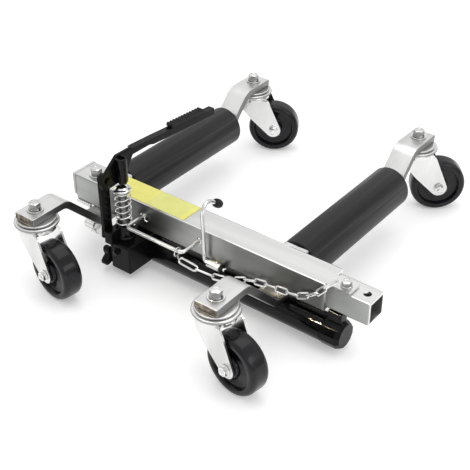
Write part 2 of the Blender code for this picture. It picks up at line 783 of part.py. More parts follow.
def make_chain():
    """The keeper chain, from the lock pin's ring, behind the front right bar, to the beam's bolt."""
    route = [
        (0.251, -0.0610, 0.0730),
        (0.262, -0.0560, 0.0665),
        (0.276, -0.0495, 0.0590),
        (0.290, -0.0440, 0.0545),
        (0.305, -0.0400, 0.0530),
        (0.320, -0.0370, 0.0550),
        (0.336, -0.0345, 0.0605),
        (0.353, -0.0325, 0.0665),
        (0.372, -0.0315, 0.0705),
        (0.393, -0.0310, 0.0725),
        (0.415, -0.0305, 0.0740),
        (0.437, -0.0300, 0.0780),
        (0.456, -0.0295, 0.0880),
        (0.469, -0.0290, 0.0990),
        (0.477, -0.0275, 0.1090),
        (0.483, -0.0215, 0.1145),
        (0.4865, -0.0160, 0.1140),
    ]
    path = smooth_path([at(*point) for point in route], 2)
    rod("keeper_chain", path, CHAIN_R, "bright", (0, 0, 0), 1)
    bolt_place = at(0.496, -0.0065, BEAM_TOP - 0.0002 + GAP)
    hex_bolt("chain_bolt", bolt_place, 0.0125, 0.0058, 0.003, 0, ((0.0085, 0.0018),))


def make_all():
    for old in list(bpy.data.objects):
        bpy.data.objects.remove(old, do_unlink=True)
    make_beam()
    make_bars()
    make_rollers()
    for corner, heading in HEADINGS.items():
        y = FRONT_STEM_Y if corner.startswith("front") else REAR_STEM_Y
        x = LEFT_X if corner.endswith("left") else RIGHT_X
        make_caster(corner, x, y, heading)
    make_pump()
    make_ram()
    make_release_knob()
    make_plunger()
    make_pedal()
    make_latches()
    make_chain()
    end_bolt = at(0.034, -0.004, BEAM_TOP + GAP)
    hex_bolt("beam_end_bolt", end_bolt, 0.014, 0.0065, 0.004, 0, ((0.0100, 0.0018), (0.0085, 0.0022)))


make_all()
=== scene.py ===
"""The looks of a hydraulic wheel dolly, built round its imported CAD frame.

Metres, +Z up, floor at z = 0. +X runs along the beam, +Y from the beam to the rollers' far ends.
Places come from the frame: the boxes of its nodes and the places of its joints.
"""

import json
from math import atan2, cos, pi, radians, sin, sqrt

import bmesh
import bpy
from mathutils import Matrix, Vector


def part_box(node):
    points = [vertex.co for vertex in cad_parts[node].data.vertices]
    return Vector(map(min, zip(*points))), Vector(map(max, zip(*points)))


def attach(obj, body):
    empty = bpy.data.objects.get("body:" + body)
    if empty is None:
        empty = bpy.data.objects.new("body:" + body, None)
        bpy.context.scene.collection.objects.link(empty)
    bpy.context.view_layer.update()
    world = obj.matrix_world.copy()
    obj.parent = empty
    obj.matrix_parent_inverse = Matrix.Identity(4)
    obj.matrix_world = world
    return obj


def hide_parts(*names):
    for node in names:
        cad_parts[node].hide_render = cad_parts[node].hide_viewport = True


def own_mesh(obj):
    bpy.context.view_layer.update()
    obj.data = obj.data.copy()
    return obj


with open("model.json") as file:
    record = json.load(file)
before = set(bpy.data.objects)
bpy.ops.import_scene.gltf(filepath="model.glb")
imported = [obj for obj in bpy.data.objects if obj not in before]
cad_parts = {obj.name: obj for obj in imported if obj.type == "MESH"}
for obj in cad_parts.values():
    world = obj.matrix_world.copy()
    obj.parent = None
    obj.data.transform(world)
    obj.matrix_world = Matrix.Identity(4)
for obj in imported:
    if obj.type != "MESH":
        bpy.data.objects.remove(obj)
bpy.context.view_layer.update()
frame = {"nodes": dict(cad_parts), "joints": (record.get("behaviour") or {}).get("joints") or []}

JOINTS = {joint["name"]: joint for joint in frame["joints"]}
CORNERS = ("front_left", "front_right", "rear_left", "rear_right")
SIDES = (("left", "fixed_frame"), ("right", "sliding_frame"))
ALONG_X = (1, 0, 0)
AWAY = (0, 1, 0)
NEARER = (0, -1, 0)
UP = Vector((0, 0, 1))

# Camera
CAMERA_PLACE = (0.75106, -1.05729, 0.92437)
CAMERA_AXES = ((0.79302, 0.60920, 0.00038), (-0.34795, 0.45242, 0.82112), (0.50005, -0.65130, 0.57075))
CAMERA_LENS = 76.63
SENSOR = 36

# Flat caster bars
BAR_THICK = 0.0115
BEND_RADIUS = 0.0095
FRONT_FLAT = 0.0465
REAR_FLAT = 0.0425
MITRE = sqrt(2) - 1
SAWN_HEIGHT = 0.7

# Casters, in each caster's own frame: X the way it trails, Y along its axle, Z up from the floor
SWIVEL_TOP = 0.1187
SWIVEL_BOTTOM = 0.1097
CROWN_TOP = 0.1092
CROWN_R = 0.0285
LEG_Y = 0.0216
SHEET = 0.0028
WHEEL_R = 0.045
WHEEL_HALF = 0.017
FORK_END_R = 0.0135
FORK_BEND = 0.0060
CROWN_INSET = 0.985
STEM_HOLE_R = 0.0064
AXLE_REACH = LEG_Y + 0.0002

# Chain
LINK_WIRE = 0.0014
LINK_WIDTH = 0.0108
LINK_PITCH = 0.0172
LONG_LINKS = 2
LONG_LINK = 1.5

WIRE_SIDES = 8
TIP_DOME = 0.35


# ---- shapes ----


def is_upright(normal, centre):
    """Chooses the second material for faces that stand upright."""
    return int(abs(normal.z) < 0.55)


def faces_down(normal, centre):
    """Chooses the second material for faces that look downwards."""
    return int(normal.z < -0.25)


def faces_nearer(normal, centre):
    """Chooses the second material for upright faces on the near side."""
    return int(normal.y < -0.9)


def transformed(bm, matrix):
    bmesh.ops.transform(bm, matrix=matrix, verts=bm.verts)
    return bm


def moved(bm, x, y, z):
    return transformed(bm, Matrix.Translation((x, y, z)))


def polar(radius, angle, height):
    return (radius * cos(angle), radius * sin(angle), height)


def frame_at(place, along):
    """A matrix whose Z axis points along a direction, with its origin at a place."""
    turn = Vector(along).to_track_quat("Z", "Y").to_matrix().to_4x4()
    return Matrix.Translation(place) @ turn


def merged(*parts):
    """One bmesh from several closed ones."""
    whole = bmesh.new()
    for part in parts:
        mesh = bpy.data.meshes.new("part")
        part.to_mesh(mesh)
        part.free()
        whole.from_mesh(mesh)
        bpy.data.meshes.remove(mesh)
    return whole


def turned(profile, steps=64):
    """A solid turned round Z from (radius, height) points: a ring where they stay off the axis."""
    bm = bmesh.new()
    rings = []
    for radius, height in profile:
        if radius == 0:
            rings.append([bm.verts.new((0, 0, height))])
            continue
        angles = [2 * pi * i / steps for i in range(steps)]
        rings.append([bm.verts.new(polar(radius, a, height)) for a in angles])
    pairs = list(zip(rings, rings[1:]))
    if profile[0][0] != 0:
        pairs.append((rings[-1], rings[0]))
    for lower, upper in pairs:
        for i in range(steps):
            j = (i + 1) % steps
            below = [lower[i % len(lower)], lower[j % len(lower)]]
            above = [upper[j % len(upper)], upper[i % len(upper)]]
            bm.faces.new(list(dict.fromkeys(below + above)))
    return bm


def spun(profile, place, along, steps=36):
    """A turned solid that stands at a place, its axis along a direction."""
    return transformed(turned(profile, steps), frame_at(place, along))


def prism(outline, low, high, axis="Z"):
    """A solid with a flat outline, run from low to high along an axis."""
    orders = {"X": (2, 0, 1), "Y": (0, 2, 1), "Z": (0, 1, 2)}
    order = orders[axis]
    bm = bmesh.new()
    ends = []
    for w in (low, high):
        corners = [(u, v, w) for u, v in outline]
        ends.append([bm.verts.new([c[k] for k in order]) for c in corners])
    for ring in ends:
        bm.faces.new(ring)
    count = len(outline)
    for i in range(count):
        j = (i + 1) % count
        bm.faces.new((ends[0][i], ends[0][j], ends[1][j], ends[1][i]))
    return bm


def block(low, high):
    """A box between two corners."""
    outline = [(low[0], low[1]), (high[0], low[1]), (high[0], high[1]), (low[0], high[1])]
    return prism(outline, low[2], high[2])


def arc(centre, radius, start, end, steps):
    """Points of an arc in a plane, its angles in degrees."""
    turns = [radians(start + (end - start) * i / steps) for i in range(steps + 1)]
    return [(centre[0] + radius * cos(a), centre[1] + radius * sin(a)) for a in turns]


def rounded(corners, radius, steps=8):
    """A path through its corners, each one rounded by a curve of about the given radius."""
    path = [Vector(corners[0])]
    for before, corner, after in zip(corners, corners[1:], corners[2:]):
        corner = Vector(corner)
        start = corner + (Vector(before) - corner).normalized() * radius
        end = corner + (Vector(after) - corner).normalized() * radius
        for i in range(steps + 1):
            t = i / steps
            path.append((1 - t) ** 2 * start + 2 * t * (1 - t) * corner + t * t * end)
    path.append(Vector(corners[-1]))
    return path


def smooth(points, steps=6):
    """A smooth curve through route points."""
    points = [Vector(p) for p in points]
    padded = [2 * points[0] - points[1], *points, 2 * points[-1] - points[-2]]
    path = []
    for a, b, c, d in zip(padded, padded[1:], padded[2:], padded[3:]):
        for i in range(steps):
            t = i / steps
            square = (2 * a - 5 * b + 4 * c - d) * t ** 2
            cube = (3 * b - a - 3 * c + d) * t ** 3
            path.append(0.5 * (2 * b + (c - a) * t + square + cube))
    return path + [points[-1]]


def tube(path, radius, sides=WIRE_SIDES, closed=False):
    """A round bar along a path, its ends a little domed."""
    path = [Vector(p) for p in path]
    count = len(path)
    tangents = []
    for i in range(count):
        before = path[i - 1] if closed or i else path[0]
        after = path[(i + 1) % count] if closed or i < count - 1 else path[-1]
        tangents.append((after - before).normalized())
    first = tangents[0].orthogonal().normalized()
    sides_of = [first]
    for old, new in zip(tangents, tangents[1:]):
        sides_of.append(old.rotation_difference(new) @ sides_of[-1])
    bm = bmesh.new()
    rings = []
    for place, tangent, side in zip(path, tangents, sides_of):
        other = tangent.cross(side)
        angles = [2 * pi * k / sides for k in range(sides)]
        rings.append([bm.verts.new(place + radius * (cos(a) * side + sin(a) * other)) for a in angles])
    pairs = list(zip(rings, rings[1:]))
    if closed:
        twist = nearest_start(rings[-1], rings[0][0])
        pairs.append((rings[-1][twist:] + rings[-1][:twist], rings[0]))
    for lower, upper in pairs:
        for k in range(sides):
            m = (k + 1) % sides
            bm.faces.new((lower[k], lower[m], upper[m], upper[k]))
    if not closed:
        ends = ((rings[0], path[0], -tangents[0]), (rings[-1], path[-1], tangents[-1]))
        for ring, place, tangent in ends:
            tip = bm.verts.new(place + tangent * radius * TIP_DOME)
            for k in range(sides):
                bm.faces.new((ring[k], ring[(k + 1) % sides], tip))
    return bm


def nearest_start(ring, vert):
    """How far a ring of vertices is turned from the vertex it should meet."""
    return min(range(len(ring)), key=lambda k: (ring[k].co - vert.co).length)


def wire_ring(centre, side, radius, wire, steps, sides=WIRE_SIDES):
    """A closed ring of wire, upright in the plane that holds a side direction."""
    turns = [2 * pi * i / steps for i in range(steps)]
    path = [Vector(centre) + radius * (cos(a) * Vector(side) + sin(a) * UP) for a in turns]
    return tube(path, wire, sides, True)


def ribbon(path, thickness):
    """The outline of a flat bar of some thickness, seen from the side, along a (u, v) path."""
    left = []
    right = []
    for i, point in enumerate(path):
        before = path[max(i - 1, 0)]
        after = path[min(i + 1, len(path) - 1)]
        along = (after - before).normalized()
        normal = Vector((-along.y, along.x)) * thickness / 2
        left.append(tuple(point + normal))
        right.append(tuple(point - normal))
    return left + right[::-1]


def hexagon_head(across, height, steps=48):
    """A hexagon head or nut standing on Z = 0, with the curved chamfer of a turned top."""
    flat = across / 2
    chamfer_r = flat * 0.95
    chamfer_slope = 0.58
    sides = []
    for i in range(steps):
        a = 2 * pi * i / steps
        off_flat = (a + pi / 6) % (pi / 3) - pi / 6
        sides.append((a, flat / cos(off_flat)))
    bm = bmesh.new()
    bottom = [bm.verts.new(polar(r, a, 0)) for a, r in sides]
    shoulder = [bm.verts.new(polar(r, a, height - (r - chamfer_r) * chamfer_slope)) for a, r in sides]
    top = [bm.verts.new(polar(chamfer_r, a, height)) for a, r in sides]
    for lower, upper in ((bottom, shoulder), (shoulder, top)):
        for i in range(steps):
            j = (i + 1) % steps
            bm.faces.new((lower[i], lower[j], upper[j], upper[i]))
    bm.faces.new(bottom[::-1])
    bm.faces.new(top)
    return bm


def spring_washer(inner, outer, height, lift):
    """A split washer: one square-section turn that climbs a little, with its cut left open."""
    steps = 56
    bm = bmesh.new()
    rings = []
    for i in range(steps + 1):
        a = radians(8 + 344 * i / steps)
        base = lift * i / steps
        corners = [(inner, base), (outer, base), (outer, base + height), (inner, base + height)]
        rings.append([bm.verts.new(polar(r, a, z)) for r, z in corners])
    for before, after in zip(rings, rings[1:]):
        for k in range(4):
            m = (k + 1) % 4
            bm.faces.new((before[k], before[m], after[m], after[k]))
    bm.faces.new(rings[0])
    bm.faces.new(rings[-1][::-1])
    return bm


# ---- materials ----


def fill_ramp(node, stops):
    """Gives a ramp node its (place, colour) stops."""
    elements = node.color_ramp.elements
    while len(elements) < len(stops):
        elements.new(0.5)
    for element, (place, colour) in zip(elements, stops):
        element.position = place
        element.color = (*colour, 1)


class Look:
    """A node material under construction, with the few node patterns that this object needs."""

    def __init__(self, name, colour, metallic, roughness, coat=0.0, specular=0.5):
        self.material = bpy.data.materials.new(name)
        self.material.use_nodes = True
        self.nodes = self.material.node_tree.nodes
        self.links = self.material.node_tree.links
        self.shader = self.nodes["Principled BSDF"]
        self.shader.inputs["Base Color"].default_value = (*colour, 1)
        self.shader.inputs["Metallic"].default_value = metallic
        self.shader.inputs["Roughness"].default_value = roughness
        self.shader.inputs["Specular IOR Level"].default_value = specular
        self.shader.inputs["Coat Weight"].default_value = coat
        self.shader.inputs["Coat Roughness"].default_value = 0.06
        self.material.diffuse_color = (*colour, 1)
        self.bump = None

    def noise(self, scale, detail=4.0, stretch=(1, 1, 1)):
        """Noise over the object's own coordinates, drawn out where a stretch is under 1."""
        place = self.nodes.new("ShaderNodeTexCoord")
        mapping = self.nodes.new("ShaderNodeMapping")
        mapping.inputs["Scale"].default_value = stretch
        noise = self.nodes.new("ShaderNodeTexNoise")
        noise.inputs["Scale"].default_value = scale
        noise.inputs["Detail"].default_value = detail
        self.links.new(place.outputs["Object"], mapping.inputs["Vector"])
        self.links.new(mapping.outputs["Vector"], noise.inputs["Vector"])
        return noise.outputs["Fac"]

    def ramp(self, factor, stops):
        """A factor through a ramp of (place, colour) stops."""
        ramp = self.nodes.new("ShaderNodeValToRGB")
        fill_ramp(ramp, stops)
        self.links.new(factor, ramp.inputs["Fac"])
        return ramp.outputs["Color"]

    def colours(self, factor, stops):
        """Base colour from a factor through a ramp."""
        self.links.new(self.ramp(factor, stops), self.shader.inputs["Base Color"])
        return self

    def along(self, axis, low, high):
        """How far a place is along one of the object's axes, from 0 at low to 1 at high."""
        place = self.nodes.new("ShaderNodeTexCoord")
        split = self.nodes.new("ShaderNodeSeparateXYZ")
        self.links.new(place.outputs["Object"], split.inputs["Vector"])
        return self.ranged(split.outputs[axis], low, high, 0, 1)

    def tinted(self, tints, tones):
        """Base colour as the product of two colour sources."""
        mix = self.nodes.new("ShaderNodeMix")
        mix.data_type = "RGBA"
        mix.blend_type = "MULTIPLY"
        mix.inputs["Factor"].default_value = 1.0
        colour_inputs = [socket for socket in mix.inputs if socket.type == "RGBA"]
        self.links.new(tints, colour_inputs[0])
        self.links.new(tones, colour_inputs[1])
        result = [socket for socket in mix.outputs if socket.type == "RGBA"][0]
        self.links.new(result, self.shader.inputs["Base Color"])
        return self

    def ranged(self, factor, low, high, start, end):
        """A factor's values from low to high, spread from start to end."""
        span = self.nodes.new("ShaderNodeMapRange")
        for name, value in (("From Min", low), ("From Max", high), ("To Min", start), ("To Max", end)):
            span.inputs[name].default_value = value
        self.links.new(factor, span.inputs["Value"])
        return span.outputs["Result"]

    def roughness(self, factor, low, high):
        self.links.new(self.ranged(factor, 0.3, 0.7, low, high), self.shader.inputs["Roughness"])
        return self

    def relief(self, factor, strength, distance):
        bump = self.nodes.new("ShaderNodeBump")
        bump.inputs["Strength"].default_value = strength
        bump.inputs["Distance"].default_value = distance
        self.links.new(factor, bump.inputs["Height"])
        if self.bump:
            self.links.new(self.bump.outputs["Normal"], bump.inputs["Normal"])
        self.bump = bump
        self.links.new(bump.outputs["Normal"], self.shader.inputs["Normal"])
        return self


def zinc_look(name, tone, rough, stretch):
    """Zinc plated steel: soft drawn marks in its tone, partly the plating's own and partly painted
    reflections, a faint cloudiness of the plating, and a fine grain.
    """
    look = Look(name, (tone, tone, tone * 0.99), 1.0, rough)
    dull = tone * 0.80
    # Partly painted reflections: darker and lighter marks drawn out along the part.
    streaks_and_reflections = look.noise(26, 5, stretch)
    look.colours(streaks_and_reflections, [(0.30, (dull, dull, dull * 0.99)), (0.62, (tone, tone, tone * 0.995))])
    look.roughness(look.noise(40, 6, stretch), rough * 0.75, rough * 1.35)
    look.relief(look.noise(9), 0.12, 0.002)
    look.relief(look.noise(420, 3, stretch), 0.10, 0.0002)
    return look.material


def beam_front_painted_reflection_look():
    """The beam's front face: the same zinc, darker overall in painted shade, and darker and brighter by
    turns along the beam in painted reflections.
    """
    look = Look("zinc_beam_front_painted_reflections", (0.5, 0.5, 0.5), 1.0, 0.22)
    length = look.along("X", *BEAM_SPAN)
    # Painted reflections and painted shade: the front face's tone at places along the beam.
    tones = [
        (0.00, 0.42),
        (0.16, 0.30),
        (0.24, 0.18),
        (0.34, 0.34),
        (0.50, 0.46),
        (0.60, 0.20),
        (0.86, 0.17),
        (0.90, 0.46),
    ]
    tints = look.ramp(length, [(place, (tone * 0.98, tone, tone * 0.97)) for place, tone in tones])
    clouds = look.ramp(look.noise(22, 6, (0.35, 1, 1)), [(0.35, (0.72, 0.72, 0.72)), (0.65, (1, 1, 1))])
    look.tinted(tints, clouds)
    look.roughness(look.noise(60, 6, TUBE_STRETCH), 0.28, 0.46)
    look.relief(look.noise(9), 0.12, 0.002)
    look.relief(look.noise(420, 3, TUBE_STRETCH), 0.10, 0.0002)
    return look.material


def raw_end_look():
    """The sawn end of a bar: dark steel with brownish patches and fine saw marks."""
    look = Look("raw_steel_end", (0.16, 0.13, 0.10), 0.7, 0.5, 0.0, 0.3)
    patches = [(0.34, (0.05, 0.042, 0.036)), (0.52, (0.20, 0.165, 0.12)), (0.70, (0.40, 0.36, 0.30))]
    look.colours(look.noise(160, 6), patches)
    look.relief(look.noise(500, 3, (1, 1, 0.1)), 0.3, 0.0003)
    return look.material


def black_look(name, tone, rough, coat=0.0, peel=0.08):
    """Black enamel: orange peel in the gloss and slight changes of depth."""
    look = Look(name, (tone, tone, tone * 1.04), 0.0, rough, coat, 0.14)
    pale = (tone * 1.3, tone * 1.3, tone * 1.35)
    look.colours(look.noise(30, 4), [(0.3, (tone * 0.75,) * 3), (0.7, pale)])
    look.roughness(look.noise(55, 5), rough * 0.7, rough * 1.4)
    look.relief(look.noise(260, 2), peel, 0.0003)
    return look.material


def roller_look():
    """Satin black tube with fine lengthwise lines, and lighter grey lengthwise stripes that are painted
    reflections.
    """
    look = Look("roller_satin", (0.02, 0.02, 0.02), 0.0, 0.42, 0.0, 0.25)
    # Painted reflections: lighter grey stripes along the tube.
    reflection_stripes = look.noise(85, 6, (1, 0.02, 1))
    reflection_greys = [(0.34, (0.006, 0.006, 0.007)), (0.55, (0.016, 0.016, 0.016)), (0.72, (0.052, 0.050, 0.050))]
    look.colours(reflection_stripes, reflection_greys)
    look.roughness(reflection_stripes, 0.30, 0.52)
    look.relief(look.noise(500, 3, (1, 0.02, 1)), 0.2, 0.0002)
    return look.material


def wheel_look():
    """Moulded black wheel: glossy, with faint flow marks and a slightly scuffed tread."""
    look = Look("wheel_gloss", (0.006, 0.006, 0.007), 0.0, 0.22, 0.16, 0.2)
    look.colours(look.noise(45, 5), [(0.35, (0.003, 0.003, 0.004)), (0.72, (0.012, 0.012, 0.014))])
    look.roughness(look.noise(60, 6), 0.14, 0.32)
    look.relief(look.noise(35, 3), 0.10, 0.0012)
    look.relief(look.noise(600, 2), 0.06, 0.0002)
    return look.material


def rubber_look():
    look = Look("rubber_matt", (0.010, 0.010, 0.010), 0.0, 0.6, 0.0, 0.25)
    look.colours(look.noise(90, 6), [(0.3, (0.005, 0.005, 0.005)), (0.75, (0.018, 0.018, 0.018))])
    look.relief(look.noise(900, 4), 0.25, 0.0003)
    return look.material


def label_look():
    """Pale yellow film, slightly uneven, with a greener panel in its middle."""
    look = Look("label_film", (0.84, 0.80, 0.24), 0.0, 0.42, 0.0, 0.3)
    low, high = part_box("yellow_label")
    yellow = (0.80, 0.76, 0.20)
    green = (0.72, 0.72, 0.24)
    panel = [(0.0, yellow), (0.47, yellow), (0.49, green), (0.93, green), (0.95, yellow)]
    tints = look.ramp(look.along("X", low.x, high.x), panel)
    clouds = look.ramp(look.noise(60, 4), [(0.3, (0.93, 0.93, 0.90)), (0.7, (1, 1, 1))])
    look.tinted(tints, clouds)
    look.relief(look.noise(120, 3), 0.08, 0.0003)
    return look.material


TUBE_STRETCH = (0.05, 1, 1)
BAR_STRETCH = (1, 0.08, 0.6)
BEAM_SPAN = (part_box("outer_tube")[0].x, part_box("inner_tube")[1].x)
ZINC_TUBE = zinc_look("zinc_tube", 0.80, 0.22, TUBE_STRETCH)
# Front zinc: painted shade and painted reflections for the beam's near faces.
ZINC_FRONT_PAINTED_REFLECTIONS = beam_front_painted_reflection_look()
ZINC_BAR = zinc_look("zinc_bar", 0.76, 0.32, BAR_STRETCH)
# Bar edges: a much darker zinc, partly the cut edges' own plating and partly painted shade.
ZINC_BAR_EDGE_PLATING_AND_SHADE = zinc_look("zinc_bar_edge_plating_and_shade", 0.24, 0.34, BAR_STRETCH)
ZINC_PRESSED = zinc_look("zinc_pressed", 0.78, 0.20, (1, 1, 0.3))
ZINC_BRIGHT = zinc_look("zinc_bright", 0.82, 0.15, (1, 1, 1))
STEEL_DARK = zinc_look("steel_dark", 0.22, 0.25, (1, 1, 0.2))
# Painted shade: a much darker copy of the bright zinc, for faces that stand upright or look downwards.
ZINC_PAINTED_SHADE = zinc_look("zinc_painted_shade", 0.36, 0.22, (1, 1, 1))
RAW_END = raw_end_look()
ENAMEL = black_look("black_enamel", 0.0035, 0.20)
ENAMEL_GLOSS = black_look("black_enamel_gloss", 0.0025, 0.11, 0.12, 0.04)
PLASTIC = black_look("black_plastic", 0.005, 0.36)
ROLLER = roller_look()
WHEEL = wheel_look()
RUBBER = rubber_look()
LABEL = label_look()
# Painted shade: the upright sides of bolt heads, nuts and race cups take the dark zinc, their tops the
# bright one.
PAINTED_SHADE_ON_UPRIGHTS = {"others": (ZINC_PAINTED_SHADE,), "choose": is_upright}


# ---- pieces ----


def paint(mesh, look, others=(), choose=None):
    """Puts materials on a mesh. A chooser tells from a face's normal and centre which one it takes."""
    mesh.materials.clear()
    for each in (look, *others):
        mesh.materials.append(each)
    for polygon in mesh.polygons:
        polygon.material_index = choose(polygon.normal, polygon.center) if choose else 0


def piece(name, bm, look, body, slot, stands_for=(), soften=0.0, angle=32, others=(), choose=None):
    """Makes a smooth-shaded piece that rides on a CAD body, and hides the nodes it stands for."""
    bmesh.ops.recalc_face_normals(bm, faces=bm.faces)
    mesh = bpy.data.meshes.new(name)
    bm.to_mesh(mesh)
    bm.free()
    mesh.shade_smooth()
    mesh.set_sharp_from_angle(angle=radians(angle))
    paint(mesh, look, others, choose)
    made = bpy.data.objects.new(name, mesh)
    bpy.context.scene.collection.objects.link(made)
    if soften:
        rounding = made.modifiers.new("edges", "BEVEL")
        rounding.width = soften
        rounding.segments = 3
        rounding.limit_method = "ANGLE"
        rounding.angle_limit = radians(angle)
        rounding.harden_normals = True
    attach(made, body)
    if stands_for:
        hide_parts(*stands_for)
    return made


def repaint(node, look, others=(), choose=None):
    """Gives a CAD node that keeps its shape a finished material."""
    paint(frame["nodes"][node].data, look, others, choose)


def middle(node):
    low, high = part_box(node)
    return (low + high) / 2


def round_span(node, axis):
    """Where a round node starts along an axis, its length and its radius."""
    low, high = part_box(node)
    start = (low + high) / 2
    start[axis] = low[axis]
    span = high - low
    return start, span[axis], (span.z if axis == 0 else span.x) / 2


def bolt_stack(place, across, head, washers, spring=None):
    """Head and washers of a bolt standing on a place: flat washers, then a spring washer, then the head."""
    x, y, z = place
    parts = []
    for radius, thick in washers:
        edge = min(0.0005, thick / 3)
        profile = [(0, z), (radius - edge, z), (radius, z + edge), (radius, z + thick - edge)]
        profile += [(radius - edge, z + thick), (0, z + thick)]
        parts.append(moved(turned(profile, 40), x, y, 0))
        z += thick
    if spring:
        inner, outer, thick = spring
        lift = 0.0006
        parts.append(moved(spring_washer(inner, outer, thick, lift), x, y, z))
        z += thick + lift
    parts.append(moved(hexagon_head(across, head), x, y, z))
    crest = across * 0.33
    ridge = [(across * 0.30, head), (crest, head + 0.0004), (across * 0.36, head), (crest, head - 0.001)]
    parts.append(moved(turned(ridge, 36), x, y, z))
    return merged(*parts)


def make_beam():
    for tube_node in ("outer_tube", "inner_tube"):
        # The near faces of both tubes take the front zinc, with its painted shade and painted reflections.
        repaint(tube_node, ZINC_TUBE, (ZINC_FRONT_PAINTED_REFLECTIONS,), faces_nearer)
    repaint("yellow_label", LABEL)
    for side, _ in SIDES:
        repaint(f"{side}_axle_plate", ZINC_BAR)
        repaint(f"{side}_axle", ZINC_BRIGHT)
    make_weld_beads()


def bead(start, end, radius, rings=9):
    """A weld bead between two points: a bar whose thickness ripples."""
    start = Vector(start)
    end = Vector(end)
    along = (end - start).normalized()
    length = (end - start).length
    steps = rings * 6
    profile = [(0, 0)]
    for i in range(steps + 1):
        t = i / steps
        ripple = radius * (0.90 + 0.10 * cos(2 * pi * rings * t))
        taper = min(1.0, sqrt(max(0.0, 1 - (2 * t - 1) ** 8)) + 0.25)
        profile.append((ripple * taper, length * t))
    profile.append((0, length))
    return transformed(turned(profile, 20), frame_at(start, along))


def make_weld_beads():
    """Welds: under the beam's closed end and across it, round each axle, and over the axle's far end."""
    low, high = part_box("outer_tube")
    bar_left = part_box("front_left_bar")[0].x
    y = low.y - 0.0012
    z = low.z - 0.0018
    under = bead((low.x + 0.006, y, z), (bar_left - 0.0025, y, z), 0.0036, 7)
    x = low.x + 0.0012
    z = low.z + 0.0004
    across = bead((x, low.y + 0.008, z), (x, high.y - 0.008, z), 0.0014)
    piece("beam_end_weld", merged(under, across), ZINC_BRIGHT, "fixed_frame", "zinc_steel")
    collar = [(0.0075, 0), (0.0128, 0), (0.0112, 0.0022), (0.0088, 0.0030), (0.0075, 0.0030)]
    plug = [(0, 0.0016), (0.0060, 0.0016), (0.0066, 0.0004)]
    plug += [(0.0092, 0.0012), (0.0100, -0.0004), (0, -0.0004)]
    for side, body in SIDES:
        axle = middle(f"{side}_axle")
        plate_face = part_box(f"{side}_axle_plate")[1].y
        bar_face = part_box(f"rear_{side}_bar")[0].y + BAR_THICK
        for name, profile, y in (("weld", collar, plate_face), ("plug_weld", plug, bar_face)):
            bm = spun(profile, (axle.x, y, axle.z), AWAY, 40)
            piece(f"{side}_axle_{name}", bm, ZINC_BRIGHT, body, "zinc_steel")


def make_bars():
    for side, body in SIDES:
        make_front_bar(side, body)
        make_rear_bar(side, body)


def bar_piece(name, corners, body):
    """A flat bar bent along (y, z) corners, with darker cut edges, partly their own plating and partly
    painted shade, and rusty sawn ends.
    """
    path = rounded([Vector(c) for c in corners], BEND_RADIUS, 10)
    low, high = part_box(name)
    bm = prism(ribbon(path, BAR_THICK), low.x, high.x, "X")
    sawn_above = high.z - BAR_THICK * SAWN_HEIGHT

    # Cut edges take the darker zinc, partly their own plating and partly painted shade; sawn ends above a
    # height take raw steel.
    def finish(normal, centre):
        if abs(normal.x) > 0.8:
            return 1
        past_end = centre.y < low.y + 0.001 or centre.y > high.y - 0.001
        return 2 if abs(normal.y) > 0.9 and past_end and centre.z > sawn_above else 0

    others = (ZINC_BAR_EDGE_PLATING_AND_SHADE, RAW_END)
    piece(name + "_bent", bm, ZINC_BAR, body, "zinc_steel", (name,), 0.0012, 32, others, finish)


def make_front_bar(side, body):
    """Flat over the caster, a 45 degree slope down, and a flat under the beam."""
    name = f"front_{side}_bar"
    low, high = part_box(name)
    stem = JOINTS[f"front_{side}_swivel_turn"]["pos_m"]
    bend = stem[1] + FRONT_FLAT
    drop = high.z - low.z - BAR_THICK
    half = BAR_THICK / 2
    shift = half * MITRE
    corners = [
        (low.y, high.z - half),
        (bend - shift, high.z - half),
        (bend + drop - shift, low.z + half),
        (high.y, low.z + half),
    ]
    bar_piece(name, corners, body)


def make_rear_bar(side, body):
    """An upright against the roller's end, a 45 degree slope, and a flat over the caster."""
    name = f"rear_{side}_bar"
    low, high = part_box(name)
    stem = JOINTS[f"rear_{side}_swivel_turn"]["pos_m"]
    bend = stem[1] - REAR_FLAT
    half = BAR_THICK / 2
    shift = half * MITRE
    slope_start = high.z - (bend - low.y)
    corners = [
        (low.y + half, low.z),
        (low.y + half, slope_start - shift),
        (bend + shift, high.z - half),
        (high.y, high.z - half),
    ]
    bar_piece(name, corners, body)


def make_rollers():
    wall = 0.003
    edge = 0.0012
    for side, _ in SIDES:
        node = f"{side}_roller"
        start, length, radius = round_span(node, 1)
        rim = arc((radius - edge, edge), edge, -90, 0, 4)
        far_rim = arc((radius - edge, length - edge), edge, 0, 90, 4)
        bm = spun([(radius - wall, 0), *rim, *far_rim, (radius - wall, length)], start, AWAY, 96)
        piece(node + "_tube", bm, ROLLER, node + "_set", "roller_paint", (node,))
        for end in ("near", "far"):
            make_bush(node, end)


def make_bush(roller, end):
    """A plastic end bush: flange, groove and hub round the axle."""
    node = f"{roller}_{end}_bush"
    start, depth, outer = round_span(node, 1)
    face = [(0.0083, 0.0010), (0.0125, 0.0010), (0.0135, 0.0022), (0.0245, 0.0022)]
    face += [(0.0258, 0.0006), (outer - 0.0008, 0.0002), (outer, 0.0010)]
    ring = spun(face + [(r, depth - h) for r, h in reversed(face)], start, AWAY, 64)
    piece(node + "_ring", ring, PLASTIC, roller + "_set", "bush_plastic", (node,))


# ---- casters ----


def caster_frame(corner):
    """The caster's own frame, with X the way it trails, and how far its wheel trails."""
    stem = Vector(JOINTS[f"{corner}_swivel_turn"]["pos_m"])
    hub = Vector(JOINTS[f"{corner}_wheel_spin"]["pos_m"])
    along = (hub - stem).to_2d()
    turn = Matrix.Rotation(atan2(along.y, along.x), 4, "Z")
    return Matrix.Translation((stem.x, stem.y, 0)) @ turn, along.length


